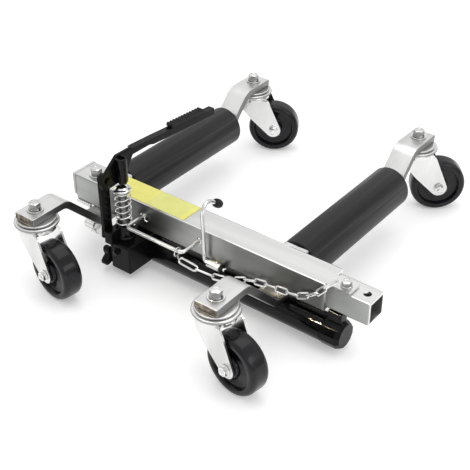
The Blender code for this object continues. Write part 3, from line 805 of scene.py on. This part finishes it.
def leg_edges(height, trail):
    """The two edges of a fork leg at a height, measured along the way the caster trails."""
    back = [(0.1065, -0.0235), (0.1040, -0.0190), (0.0840, -0.0165), (0.0650, -0.0010)]
    back.append((0.0353, trail - 0.0094))
    front = [(0.1065, 0.0260), (0.1010, 0.0300), (0.0503, trail + 0.0124)]
    drop = min(abs(height - WHEEL_R), FORK_END_R)
    reach = sqrt(FORK_END_R ** 2 - drop ** 2)
    low = between(back, height) if height > back[-1][0] else trail - reach
    high = between(front, height) if height > front[-1][0] else trail + reach
    return low, high


def between(points, height):
    """Straight-line value between (height, value) points that run downwards."""
    for (z0, v0), (z1, v1) in zip(points, points[1:]):
        if height >= z1:
            return v0 + (v1 - v0) * (height - z0) / (z1 - z0)
    return points[-1][1]


def fork_leg(side, trail):
    """One leg of the fork, from sheet: it leaves the crown, bends down and tapers to a round end."""
    top = CROWN_TOP - SHEET / 2
    out = LEG_Y - SHEET / 2
    flat = out - FORK_BEND
    start = top - FORK_BEND
    reach = CROWN_INSET * sqrt(CROWN_R ** 2 - flat ** 2)
    stations = []
    for i in range(5):
        y = flat * (0.55 + 0.45 * i / 4)
        edge = CROWN_INSET * sqrt(CROWN_R ** 2 - y ** 2)
        stations.append((y, top, -edge, edge))
    for i in range(1, 7):
        share = i / 7
        a = radians(90 * share)
        height = start + FORK_BEND * cos(a)
        low, high = leg_edges(height, trail)
        low = -reach + (low + reach) * share
        high = reach + (high - reach) * share
        stations.append((flat + FORK_BEND * sin(a), height, low, high))
    heights = [start + (WHEEL_R - start) * i / 18 for i in range(19)]
    heights += [WHEEL_R - FORK_END_R * 0.999 * sin(radians(90 * i / 12)) for i in range(1, 13)]
    for height in heights:
        stations.append((out, height, *leg_edges(height, trail)))
    bm = bmesh.new()
    columns = 10
    rows = []
    for y, z, low, high in stations:
        across = [low + (high - low) * k / columns for k in range(columns + 1)]
        rows.append([bm.verts.new((x, side * y, z)) for x in across])
    for upper, lower in zip(rows, rows[1:]):
        for k in range(columns):
            bm.faces.new((upper[k], upper[k + 1], lower[k + 1], lower[k]))
    bmesh.ops.recalc_face_normals(bm, faces=bm.faces)
    bmesh.ops.solidify(bm, geom=bm.faces, thickness=SHEET)
    centre_shift(bm, side * out)
    return bm


def centre_shift(bm, wanted):
    """Centres a thickened upright sheet on the plane it was drawn in."""
    outer = max((v.co.y for v in bm.verts), key=abs)
    reach = wanted + (SHEET / 2 if wanted > 0 else -SHEET / 2)
    bmesh.ops.translate(bm, vec=(0, reach - outer, 0), verts=bm.verts)


def fork_crown():
    """The fork's round crown: a domed plate round the stem with a short skirt."""
    edge_place = (CROWN_R - 0.004, CROWN_TOP - 0.004)
    skirt = [(CROWN_R, 0.1018), (CROWN_R - 0.0025, 0.1018)]
    profile = [(STEM_HOLE_R, CROWN_TOP), *arc(edge_place, 0.004, 90, 0, 6), *skirt]
    profile += [*arc(edge_place, 0.0015, 0, 90, 4), (STEM_HOLE_R, CROWN_TOP - 0.0025)]
    return turned(profile, 64)


def swivel_race():
    """The ball race over the fork: an upper disc, a groove, and a wider cup with a rolled rim."""
    top = SWIVEL_TOP
    floor = SWIVEL_BOTTOM + 0.0002
    disc = arc((0.0278, top - 0.0016), 0.0016, 90, -80, 7)
    rim = arc((0.0309, SWIVEL_BOTTOM + 0.0027), 0.0025, 80, -80, 8)
    groove = [(0.0262, top - 0.0034), (0.0262, top - 0.0042)]
    inside = [(0.0285, floor), (STEM_HOLE_R, floor)]
    return turned([(STEM_HOLE_R, top), (0.0200, top), *disc, *groove, *rim, *inside], 72)


def wheel_shape():
    """A solid wheel with a crowned tread, rounded shoulders, a raised rim and hub and a sunken web."""
    half = WHEEL_HALF
    turns = [radians(9 * i) for i in range(11)]
    shoulder = [(0.0390 + 0.0060 * cos(a), 0.0075 + 0.0083 * sin(a)) for a in turns]
    face = [
        (0.0365, half - 0.0008),
        (0.0345, half - 0.0014),
        (0.0330, half - 0.0042),
        (0.0320, half - 0.0072),
        (0.0300, half - 0.0080),
        (0.0180, half - 0.0078),
        (0.0163, half - 0.0066),
        (0.0152, half - 0.0012),
        (0.0142, half - 0.0004),
        (0.0130, half),
    ]
    side = [(0.0046, half), *face[::-1], *shoulder[::-1]]
    return turned(side + [(r, -h) for r, h in reversed(side)], 96)


def make_caster(corner):
    place, trail = caster_frame(corner)
    swivel = f"{corner}_swivel"
    carrier = "fixed_frame" if corner.endswith("left") else "sliding_frame"
    cup = transformed(swivel_race(), place)
    race = f"{corner}_race"
    # The race cup's upright faces carry painted shade.
    piece(race + "_cup", cup, ZINC_PRESSED, carrier, "zinc_steel", (race,), 0, 40, **PAINTED_SHADE_ON_UPRIGHTS)
    pressing = transformed(merged(fork_crown(), fork_leg(1, trail), fork_leg(-1, trail)), place)
    fork = f"{corner}_fork"
    piece(fork + "_pressing", pressing, ZINC_PRESSED, swivel, "zinc_steel", (fork,), 0.0007, 40)
    hub = place @ Matrix.Translation((trail, 0, WHEEL_R)) @ Matrix.Rotation(pi / 2, 4, "X")
    make_caster_axle(corner, hub, swivel)
    moulding = transformed(wheel_shape(), hub)
    wheel = f"{corner}_wheel"
    piece(wheel + "_moulding", moulding, WHEEL, wheel + "_set", "wheel_plastic", (wheel,), 0, 40)
    make_stem_bolt(corner, carrier)


def make_caster_axle(corner, hub, body):
    """Axle bolt: a hexagon head on one side, a lock nut and the thread's end on the other, with washers."""
    reach = AXLE_REACH
    washer_thick = 0.0012
    tip = reach + 0.0092
    thread = [(0, tip), (0.0030, tip), (0.0040, tip - 0.0010), (0.0040, -reach), (0, -reach)]
    washer = [(0, 0), (0.0080, 0), (0.0083, 0.0003), (0.0083, 0.0009)]
    washer += [(0.0080, washer_thick), (0, washer_thick)]
    collar = [(0, 0.0038), (0.0050, 0.0038), (0.0057, 0.0044)]
    collar += [(0.0057, 0.0060), (0.0050, 0.0066), (0, 0.0066)]
    spacer = [(0.0046, 0), (0.0085, 0), (0.0085, 0.0013), (0.0046, 0.0013)]
    parts = [turned(thread, 24)]
    for turn in (0, pi):
        seat = Matrix.Rotation(turn, 4, "X") @ Matrix.Translation((0, 0, reach))
        parts.append(transformed(turned(washer, 32), seat))
        parts.append(transformed(moved(hexagon_head(0.0130, 0.0056), 0, 0, washer_thick), seat))
    parts.append(moved(turned(collar, 32), 0, 0, reach))
    for side in (1, -1):
        parts.append(moved(turned(spacer, 32), 0, 0, side * (WHEEL_HALF + 0.0009) - 0.00065))
    bolt = transformed(merged(*parts), hub)
    piece(f"{corner}_axle_bolt", bolt, ZINC_BRIGHT, body, "bright_steel", (f"{corner}_axle",))


def make_stem_bolt(corner, body):
    node = f"{corner}_stem_bolt"
    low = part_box(node)[0]
    centre = middle(node)
    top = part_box(f"{corner}_bar")[1].z + 0.0002
    spring = (0.0062, 0.0098, 0.0028)
    bolt = bolt_stack((centre.x, centre.y, top), 0.0155, 0.0072, [(0.0125, 0.0022)], spring)
    nut_top = low.z + 0.0045
    shank = [(0, low.z), (0.0086, low.z), (0.0086, nut_top), (0.0060, nut_top), (0.0060, top), (0, top)]
    whole = merged(bolt, moved(turned(shank, 32), centre.x, centre.y, 0))
    # The bolt's upright faces carry painted shade.
    piece(f"{corner}_stem_hex_bolt", whole, ZINC_BRIGHT, body, "bright_steel", (node,), **PAINTED_SHADE_ON_UPRIGHTS)


def make_beam_bolts():
    end = middle("beam_end_bolt")
    end.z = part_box("outer_tube")[1].z + 0.0002
    chain = middle("chain_bolt")
    chain.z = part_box("chain_bolt")[0].z
    end_bolt = bolt_stack(end, 0.0160, 0.0070, [(0.0122, 0.0020)], (0.0048, 0.0085, 0.0024))
    chain_bolt = bolt_stack(chain, 0.0125, 0.0056, [(0.0085, 0.0018)])
    for name, bm in (("beam_end", end_bolt), ("chain", chain_bolt)):
        node = name + "_bolt"
        # The bolts' upright faces carry painted shade.
        piece(name + "_hex_bolt", bm, ZINC_BRIGHT, "fixed_frame", "bright_steel", (node,), **PAINTED_SHADE_ON_UPRIGHTS)


# ---- pump, ram and pedal ----


def make_pump():
    """The pump's casting, with a boss for the plunger, a lug for the link and a neck up to the beam."""
    low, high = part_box("pump_block")
    boss = middle("plunger")
    shoulder = low.z + 0.048
    casting = block((low.x + 0.004, low.y + 0.0065, low.z), (high.x, high.y, shoulder))
    piece("pump_casting", casting, ENAMEL, "fixed_frame", "black_paint", ("pump_block",), 0.0028)
    fillet = arc((0.0165, 0.0630), 0.0030, 270, 180, 5)
    profile = [(0.0075, 0.052), (0.0150, 0.052), (0.0150, 0.0600), *fillet]
    profile += [(0.0135, high.z - 0.0012), (0.0125, high.z), (0.0075, high.z)]
    collar = moved(turned(profile, 64), boss.x, boss.y, 0)
    piece("pump_boss", collar, ENAMEL_GLOSS, "fixed_frame", "black_paint")
    lug = block((low.x, low.y, 0.056), (boss.x + 0.001, low.y + 0.026, 0.0775))
    piece("pump_link_lug", lug, ENAMEL, "fixed_frame", "black_paint", (), 0.0015)
    neck_low = (high.x - 0.032, high.y - 0.026, shoulder - 0.004)
    neck_high = (high.x - 0.006, high.y - 0.002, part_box("outer_tube")[0].z - 0.0002)
    piece("pump_neck", block(neck_low, neck_high), ENAMEL, "fixed_frame", "black_paint", (), 0.0015)
    disc = turned([(0, 0), (0.0062, 0), (0.0062, 0.0016), (0.0056, 0.0022), (0, 0.0022)], 36)
    plug = merged(disc, moved(hexagon_head(0.0080, 0.0030), 0, 0, 0.0020))
    spot = frame_at((boss.x + 0.004, low.y + 0.0066, low.z + 0.033), NEARER)
    piece("pump_front_plug", transformed(plug, spot), ENAMEL_GLOSS, "fixed_frame", "black_paint")


def make_release_knob():
    """A four-lobed grip with a round hub."""
    low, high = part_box("release_knob")
    place = Vector(JOINTS["release_knob_turn"]["pos_m"])
    outline = []
    for i in range(96):
        a = 2 * pi * i / 96
        radius = 0.0153 + 0.0046 * cos(4 * a)
        outline.append((place.y + radius * cos(a + 0.5), place.z + radius * sin(a + 0.5)))
    grip = prism(outline, low.x + 0.0002, high.x - 0.0042, "X")
    length = high.x - low.x
    profile = [(0, -0.0012), (0.0058, -0.0012), (0.0066, 0), (0.0066, length), (0, length)]
    hub = spun(profile, (low.x, place.y, place.z), ALONG_X)
    piece("release_grip", grip, PLASTIC, "release_valve", "black_paint", ("release_knob",), 0.0016)
    piece("release_hub", hub, PLASTIC, "release_valve", "black_paint")


def make_ram():
    """The ram: its barrel with a rounded lip, and a faceted nut on its end."""
    start, length, radius = round_span("ram_barrel", 0)
    bore = 0.0125
    lip = arc((radius - 0.0010, 0.0010), 0.0010, -90, 0, 4)
    barrel = spun([(bore, 0), *lip, (radius, length), (bore, length)], start, ALONG_X, 96)
    piece("ram_tube", barrel, ENAMEL_GLOSS, "sliding_frame", "black_paint", ("ram_barrel",))
    start, length, radius = round_span("ram_cap", 0)
    facets = 12
    profile = [(0, 0), (radius - 0.0012, 0), (radius, 0.0012)]
    profile += [(radius, length - 0.0070), (radius - 0.0032, length), (0, length)]
    nut = transformed(turned(profile, facets), Matrix.Rotation(pi / facets, 4, "Z"))
    nut = transformed(nut, frame_at(start, ALONG_X))
    piece("ram_end_nut", nut, ENAMEL, "sliding_frame", "black_paint", ("ram_cap",), 0.0006, 12)
    repaint("ram_rod", ZINC_BRIGHT)
    repaint("ram_web", ENAMEL)
    repaint("ram_anchor", ZINC_PRESSED)


def make_anchor_boss():
    """The ram's end boss in front of its anchor plate, held by a split pin with its legs bent apart."""
    low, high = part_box("ram_anchor")
    radius = 0.0082
    neck_r = 0.0060
    length = 0.024
    x = (low.x + high.x - length) / 2
    y = low.y - radius + 0.0006
    z = low.z + 0.0245
    profile = [(0, 0), (radius - 0.0012, 0), (radius, 0.0012), (radius, length - 0.0040)]
    profile += [(neck_r, length - 0.0032), (neck_r, length), (0, length)]
    boss = spun(profile, (x, y, z), ALONG_X, 40)
    # Painted shade: the boss's downward faces take the dark zinc.
    others = (ZINC_PAINTED_SHADE,)
    piece("anchor_boss", boss, ZINC_PRESSED, "fixed_frame", "zinc_steel", (), 0, 32, others, faces_down)
    x += length * 0.62
    top = z + radius
    bottom = z - radius
    parts = []
    for way in (-1, 1):
        leg_x = x + way * 0.0006
        foot = (x + way * 0.0055, y - 0.0020, bottom - 0.0055)
        leg = [(leg_x, y, top + 0.0020), (leg_x, y, bottom - 0.0010), foot]
        parts.append(tube(rounded(leg, 0.002, 4), 0.0010))
    parts.append(wire_ring((x, y, top + 0.0040), ALONG_X, 0.0028, 0.0009, 20))
    piece("anchor_split_pin", merged(*parts), ZINC_BRIGHT, "fixed_frame", "bright_steel")


def make_plunger():
    low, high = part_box("plunger")
    centre = (low + high) / 2
    top = high.z
    foot = low.z + 0.0050
    rim = (high.x - low.x) / 2
    rod_r = 0.0070
    rod_top = top - 0.0090
    rod = turned([(0, foot), (rod_r, foot), (rod_r, rod_top), (0, rod_top)], 48)
    stem = moved(rod, centre.x, centre.y, 0)
    piece("plunger_stem", stem, STEEL_DARK, "pump_plunger", "bright_steel", ("plunger",))
    profile = [(0, rod_top + 0.0001), (0.0102, rod_top + 0.0001), (0.0102, top - 0.0080)]
    profile += [(rim - 0.0012, top - 0.0078), *arc((rim - 0.0020, top - 0.0058), 0.0020, -60, 90, 8)]
    profile += [(0.0098, top - 0.0030), (0.0085, top - 0.0006), (0.0060, top), (0, top)]
    cap = moved(turned(profile, 64), centre.x, centre.y, 0)
    piece("plunger_cap", cap, ZINC_BRIGHT, "pump_plunger", "bright_steel")
    make_spring(centre)


def make_spring(centre):
    """The return spring: closed end turns and five open ones."""
    low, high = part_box("return_spring")
    wire = 0.00105
    radius = (high.x - low.x) / 2 - wire
    bottom = low.z + wire
    top = high.z - wire
    turns = 6.5
    closed = 0.75
    steps = int(26 * turns)
    path = []
    for i in range(steps + 1):
        turn = turns * i / steps
        a = 2 * pi * turn
        share = min(max((turn - closed) / (turns - 2 * closed), 0.0), 1.0)
        close = 2 * wire * (min(turn, closed) + max(turn - turns + closed, 0.0))
        height = bottom + close + (top - bottom - 3 * wire) * share
        path.append((centre.x + radius * cos(a), centre.y + radius * sin(a), min(height, top)))
    coil = tube(path, wire, 10)
    spring = piece("pump_spring", coil, ZINC_BRIGHT, "fixed_frame", "bright_steel", ("return_spring",))
    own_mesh(spring)


def make_pedal():
    """Pressed heel plate, flat arm, tube over the plunger, and a ribbed rubber pad."""
    pivot = Vector(JOINTS["pedal_hinge"]["pos_m"])
    repaint("pedal_arm", ENAMEL)
    repaint("fulcrum_link", ENAMEL)
    repaint("foot_pad", RUBBER)
    low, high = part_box("pedal_pusher")
    centre = (low + high) / 2
    floor = high.z - 0.004
    profile = [(0, low.z), (0.0030, low.z + 0.0006), (0.0060, low.z + 0.0034), (0.0084, low.z + 0.0082)]
    profile += [(0.0084, high.z - 0.0010), (0.0076, high.z), (0.0058, high.z), (0.0058, floor), (0, floor)]
    pusher = moved(turned(profile, 48), centre.x, centre.y, 0)
    piece("pedal_pusher_tube", pusher, ENAMEL_GLOSS, "pedal", "black_paint", ("pedal_pusher",))
    web = [(0.0055, -0.0135), (0.0300, -0.0118), (0.0380, -0.0040), (0.0380, 0.0040), (0.0055, 0.0040)]
    outline = [(pivot.y + y, pivot.z + z) for y, z in web]
    heel = prism(outline, pivot.x - 0.0029, pivot.x + 0.0029, "X")
    piece("pedal_heel_web", heel, ENAMEL, "pedal", "black_paint", (), 0.0008)
    start, length, _ = round_span("pivot_pin", 0)
    profile = [(0, 0), (0.0056, 0), (0.0065, 0.0010), (0.0065, 0.0036)]
    profile += [(0.0040, 0.0036), (0.0040, length), (0, length)]
    pin = spun(profile, start, ALONG_X)
    ring = [(0.0036, 0), (0.0056, 0), (0.0056, 0.0008), (0.0036, 0.0008)]
    start.x += length - 0.0014
    clip = spun(ring, start, ALONG_X)
    piece("pedal_pivot_pin", merged(pin, clip), ENAMEL, "fixed_frame", "black_paint", ("pivot_pin",))


# ---- pins and chain ----


def make_lock_pin():
    """A bent rod whose two legs pass through collars in the beam's front wall, with a wire clip at one."""
    low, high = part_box("lock_pin")
    radius = (high.z - low.z) / 2
    z = (low.z + high.z) / 2
    left = low.x + radius
    right = high.x - radius
    front = low.y + radius
    back = high.y - 0.0012
    corners = [(left, back, z), (left, front, z), (right, front, z), (right, back, z)]
    rod = tube(rounded(corners, 0.0085, 12), radius, 20)
    piece("lock_pin_rod", rod, ZINC_BRIGHT, "lock_pin_set", "bright_steel", ("lock_pin",))
    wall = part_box("outer_tube")[0].y
    ring = [(radius + 0.0003, 0), (0.0052, 0), (0.0050, 0.0016), (radius + 0.0003, 0.0020)]
    parts = [spun(ring, (x, wall, z), NEARER, 32) for x in (left, right)]
    eye = (left + 0.0035, wall - 0.0012, z)
    for end in ((left + 0.0085, wall - 0.0040, z + 0.0075), (left + 0.0095, wall - 0.0030, z - 0.0060)):
        knee = (left + 0.0060, wall - 0.0050, (z + end[2]) / 2)
        parts.append(tube(rounded([eye, knee, end], 0.0015, 4), 0.0008))
    piece("lock_pin_collars", merged(*parts), ZINC_BRIGHT, "fixed_frame", "zinc_steel")
    make_pin_ring()


def make_pin_ring():
    """The wire ring on the lock pin, with a short tab that leads to the chain."""
    low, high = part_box("pin_ring")
    centre = (low + high) / 2
    wire = 0.0011
    ring = wire_ring(centre, AWAY, (high.z - low.z) / 2 - wire, wire, 40, 10)
    tab_low = (centre.x - 0.0007, centre.y + 0.0008, low.z - 0.0052)
    tab = block(tab_low, (centre.x + 0.0007, centre.y + 0.0058, low.z + 0.0014))
    piece("pin_wire_ring", merged(ring, tab), ZINC_BRIGHT, "lock_pin_set", "bright_steel", ("pin_ring",))


def sleeve_profile(bore, outer, length, edge):
    """A short tube with chamfered ends."""
    half = [(bore, 0), (outer - 0.0006, 0), (outer, edge)]
    return half + [(r, length - h) for r, h in reversed(half)]


def make_latch():
    """The latch: a sleeve with a pip on the beam, and in it a bent rod with a collar and a rubber tip."""
    bore = 0.0034
    start, length, radius = round_span("latch_sleeve", 0)
    pip = turned([(0, 0), (0.0024, 0), (0.0016, 0.0026), (0.0006, 0.0034), (0, 0.0034)], 24)
    pip = moved(pip, start.x + length * 0.72, start.y, start.z + radius - 0.0004)
    shell = spun(sleeve_profile(bore, radius, length, 0.0006), start, ALONG_X, 48)
    sleeve = merged(shell, pip)
    piece("latch_sleeve_tube", sleeve, ZINC_BRIGHT, "fixed_frame", "zinc_steel", ("latch_sleeve",))
    start, length, radius = round_span("latch_collar", 0)
    collar = spun(sleeve_profile(bore, radius, length, 0.0008), start, ALONG_X, 48)
    piece("latch_collar_ring", collar, PLASTIC, "latch", "black_paint", ("latch_collar",))
    make_latch_rod(start)


def make_latch_rod(centre):
    """The latch's rod: out of the sleeve, up, and bent over into a hook."""
    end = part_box("latch_lever")[1].x - 0.0015
    x = JOINTS["latch_hinge"]["pos_m"][0]
    y = centre.y
    z = centre.z
    foot = rounded([(end, y, z), (x, y, z), (x, y - 0.0016, z + 0.045)], 0.0065, 10)
    hook = [
        (-0.0024, 0.0650),
        (-0.0030, 0.0800),
        (-0.0020, 0.0880),
        (0.0015, 0.0945),
        (0.0070, 0.0975),
        (0.0130, 0.0968),
        (0.0190, 0.0932),
        (0.0260, 0.0880),
    ]
    path = foot + smooth([(x, y + forward, z + height) for forward, height in hook], 5)
    piece("latch_hook", tube(path, 0.0030, 18), ZINC_BRIGHT, "latch", "bright_steel", ("latch_lever",))
    bulb = [(0, 0), (0.0050, 0), (0.0062, 0.0012), (0.0067, 0.0040)]
    bulb += [(0.0067, 0.0095), (0.0058, 0.0126), (0.0036, 0.0142), (0, 0.0146)]
    slope = radians(127)
    knob = spun(bulb, (x, y + 0.0263, z + 0.0878), (0, sin(slope), cos(slope)), 40)
    piece("latch_rubber_tip", knob, RUBBER, "latch", "rubber", ("latch_tip",))


def chain_route():
    """The keeper chain's route: from the lock pin's ring, behind a bar, to the bolt on the beam."""
    origin = Vector((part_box("outer_tube")[0].x, middle("outer_tube").y, 0))
    points = [
        (0.251, -0.0610, 0.0730),
        (0.262, -0.0560, 0.0665),
        (0.276, -0.0495, 0.0590),
        (0.290, -0.0440, 0.0545),
        (0.305, -0.0400, 0.0530),
        (0.320, -0.0370, 0.0550),
        (0.336, -0.0345, 0.0605),
        (0.353, -0.0325, 0.0665),
        (0.372, -0.0315, 0.0705),
        (0.393, -0.0310, 0.0725),
        (0.415, -0.0305, 0.0740),
        (0.437, -0.0300, 0.0780),
        (0.456, -0.0295, 0.0880),
        (0.469, -0.0290, 0.0990),
        (0.477, -0.0275, 0.1090),
        (0.483, -0.0215, 0.1145),
        (0.4865, -0.0160, 0.1140),
    ]
    return smooth([origin + Vector(p) for p in points], 8)


def along_route(route, distance):
    """Place and direction at a distance along a route."""
    for a, b in zip(route, route[1:]):
        step = (b - a).length
        if distance <= step:
            return a + (b - a) * (distance / step), (b - a).normalized()
        distance -= step
    return route[-1], (route[-1] - route[-2]).normalized()


def chain_link(length, width, wire):
    """One long link in the XZ plane, its long way along Z."""
    end_r = (width - 2 * wire) / 2
    straight = length / 2 - wire - end_r
    top = [(x, z + straight) for x, z in arc((0, 0), end_r, 0, 180, 10)]
    bottom = [(x, z - straight) for x, z in arc((0, 0), end_r, 180, 360, 10)]
    return tube([(x, 0, z) for x, z in top + bottom], wire, 10, True)


def make_chain():
    """Links along the route, each turned a quarter from the last. The first ones are longer."""
    route = chain_route()
    total = sum((b - a).length for a, b in zip(route, route[1:]))
    count = round(total / LINK_PITCH - LONG_LINKS * (LONG_LINK - 1))
    shares = [LONG_LINK] * LONG_LINKS + [1.0] * (count - LONG_LINKS)
    unit = total / sum(shares)
    outward = Vector((0, -1, 1)).normalized()
    links = []
    start = 0.0
    for i, share in enumerate(shares):
        pitch = unit * share
        place, along = along_route(route, start + pitch / 2)
        start += pitch
        side = along.cross(outward).normalized()
        if i % 2:
            side = along.cross(side).normalized()
        turn = Matrix((side, along.cross(side), along)).transposed().to_4x4()
        link = chain_link(pitch + 4 * LINK_WIRE, LINK_WIDTH, LINK_WIRE)
        links.append(transformed(link, Matrix.Translation(place) @ turn))
    chain = merged(*links)
    piece("keeper_chain_links", chain, ZINC_BRIGHT, "fixed_frame", "bright_steel", ("keeper_chain",))


# ---- studio ----


def make_camera():
    data = bpy.data.cameras.new("camera")
    data.lens = CAMERA_LENS
    data.sensor_width = SENSOR
    data.sensor_fit = "HORIZONTAL"
    data.clip_start = 0.01
    camera = bpy.data.objects.new("camera", data)
    bpy.context.scene.collection.objects.link(camera)
    turn = Matrix(CAMERA_AXES).transposed().to_4x4()
    camera.matrix_world = Matrix.Translation(CAMERA_PLACE) @ turn
    bpy.context.scene.camera = camera


def make_floor():
    look = Look("floor_paper", (0.90, 0.90, 0.90), 0.0, 0.6)
    look.colours(look.noise(3, 2), [(0.3, (0.895, 0.895, 0.895)), (0.7, (0.905, 0.905, 0.905))])
    look.shader.inputs["Emission Color"].default_value = (1, 1, 1, 1)
    look.shader.inputs["Emission Strength"].default_value = 0.22
    mesh = bpy.data.meshes.new("floor")
    bm = block((-6, -6, -0.02), (6, 6, 0))
    bm.to_mesh(mesh)
    bm.free()
    mesh.materials.append(look.material)
    floor = bpy.data.objects.new("floor", mesh)
    bpy.context.scene.collection.objects.link(floor)


def make_light(name, place, size, power, target, colour=(1, 1, 1), spread=pi, lights_diffuse=True):
    """A rectangular light that faces a target, its long side kept as close as it can be to the X axis."""
    data = bpy.data.lights.new(name, "AREA")
    data.shape = "RECTANGLE"
    data.size = size[0]
    data.size_y = size[1]
    data.energy = power
    data.color = colour
    data.spread = spread
    light = bpy.data.objects.new(name, data)
    bpy.context.scene.collection.objects.link(light)
    light.location = place
    light.visible_diffuse = lights_diffuse
    back = (Vector(place) - Vector(target)).normalized()
    side = (Vector(ALONG_X) - back * back.x).normalized()
    light.rotation_euler = Matrix((side, back.cross(side), back)).transposed().to_euler()


def make_strip_lights():
    """Two narrow lamps, each drawing a thin line of light along the near side of the ram's barrel."""
    low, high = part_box("ram_barrel")
    away = 2 * Vector((-0.417, -0.610, 0.674))
    warm = (1.0, 0.84, 0.60)
    strips = (("far_strip", high.x - 0.060, 0.34, 0.055), ("near_strip", low.x + 0.050, 0.20, 0.018))
    for name, x, length, power in strips:
        shine = Vector((x, low.y + 0.006, high.z - 0.006))
        make_light(name, shine + away, (length, 0.012), power, shine, warm, radians(4.5), False)


def make_world():
    """A white studio: bright above, softer towards the horizon."""
    world = bpy.data.worlds.new("studio")
    bpy.context.scene.world = world
    world.use_nodes = True
    nodes = world.node_tree.nodes
    links = world.node_tree.links
    place = nodes.new("ShaderNodeTexCoord")
    split = nodes.new("ShaderNodeSeparateXYZ")
    ramp = nodes.new("ShaderNodeValToRGB")
    levels = [(0.0, 0.55), (0.10, 0.62), (0.42, 1.0), (1.0, 1.0)]
    fill_ramp(ramp, [(height, (level,) * 3) for height, level in levels])
    links.new(place.outputs["Generated"], split.inputs["Vector"])
    links.new(split.outputs["Z"], ramp.inputs["Fac"])
    links.new(ramp.outputs["Color"], nodes["Background"].inputs["Color"])
    nodes["Background"].inputs["Strength"].default_value = 0.95


def make_studio():
    make_camera()
    make_floor()
    make_world()
    make_light("top_softbox", (-0.15, 0.25, 1.9), (1.6, 1.6), 9, (-0.15, 0.25, 0))
    make_light("side_softbox", (1.5, -0.3, 0.9), (0.5, 1.4), 5, (0, -0.3, 0.05))
    make_strip_lights()
    bpy.context.scene.view_settings.view_transform = "Standard"


make_studio()
make_beam()
make_bars()
make_rollers()
for each_corner in CORNERS:
    make_caster(each_corner)
make_beam_bolts()
make_pump()
make_release_knob()
make_ram()
make_anchor_boss()
make_plunger()
make_pedal()
make_lock_pin()
make_latch()
make_chain()
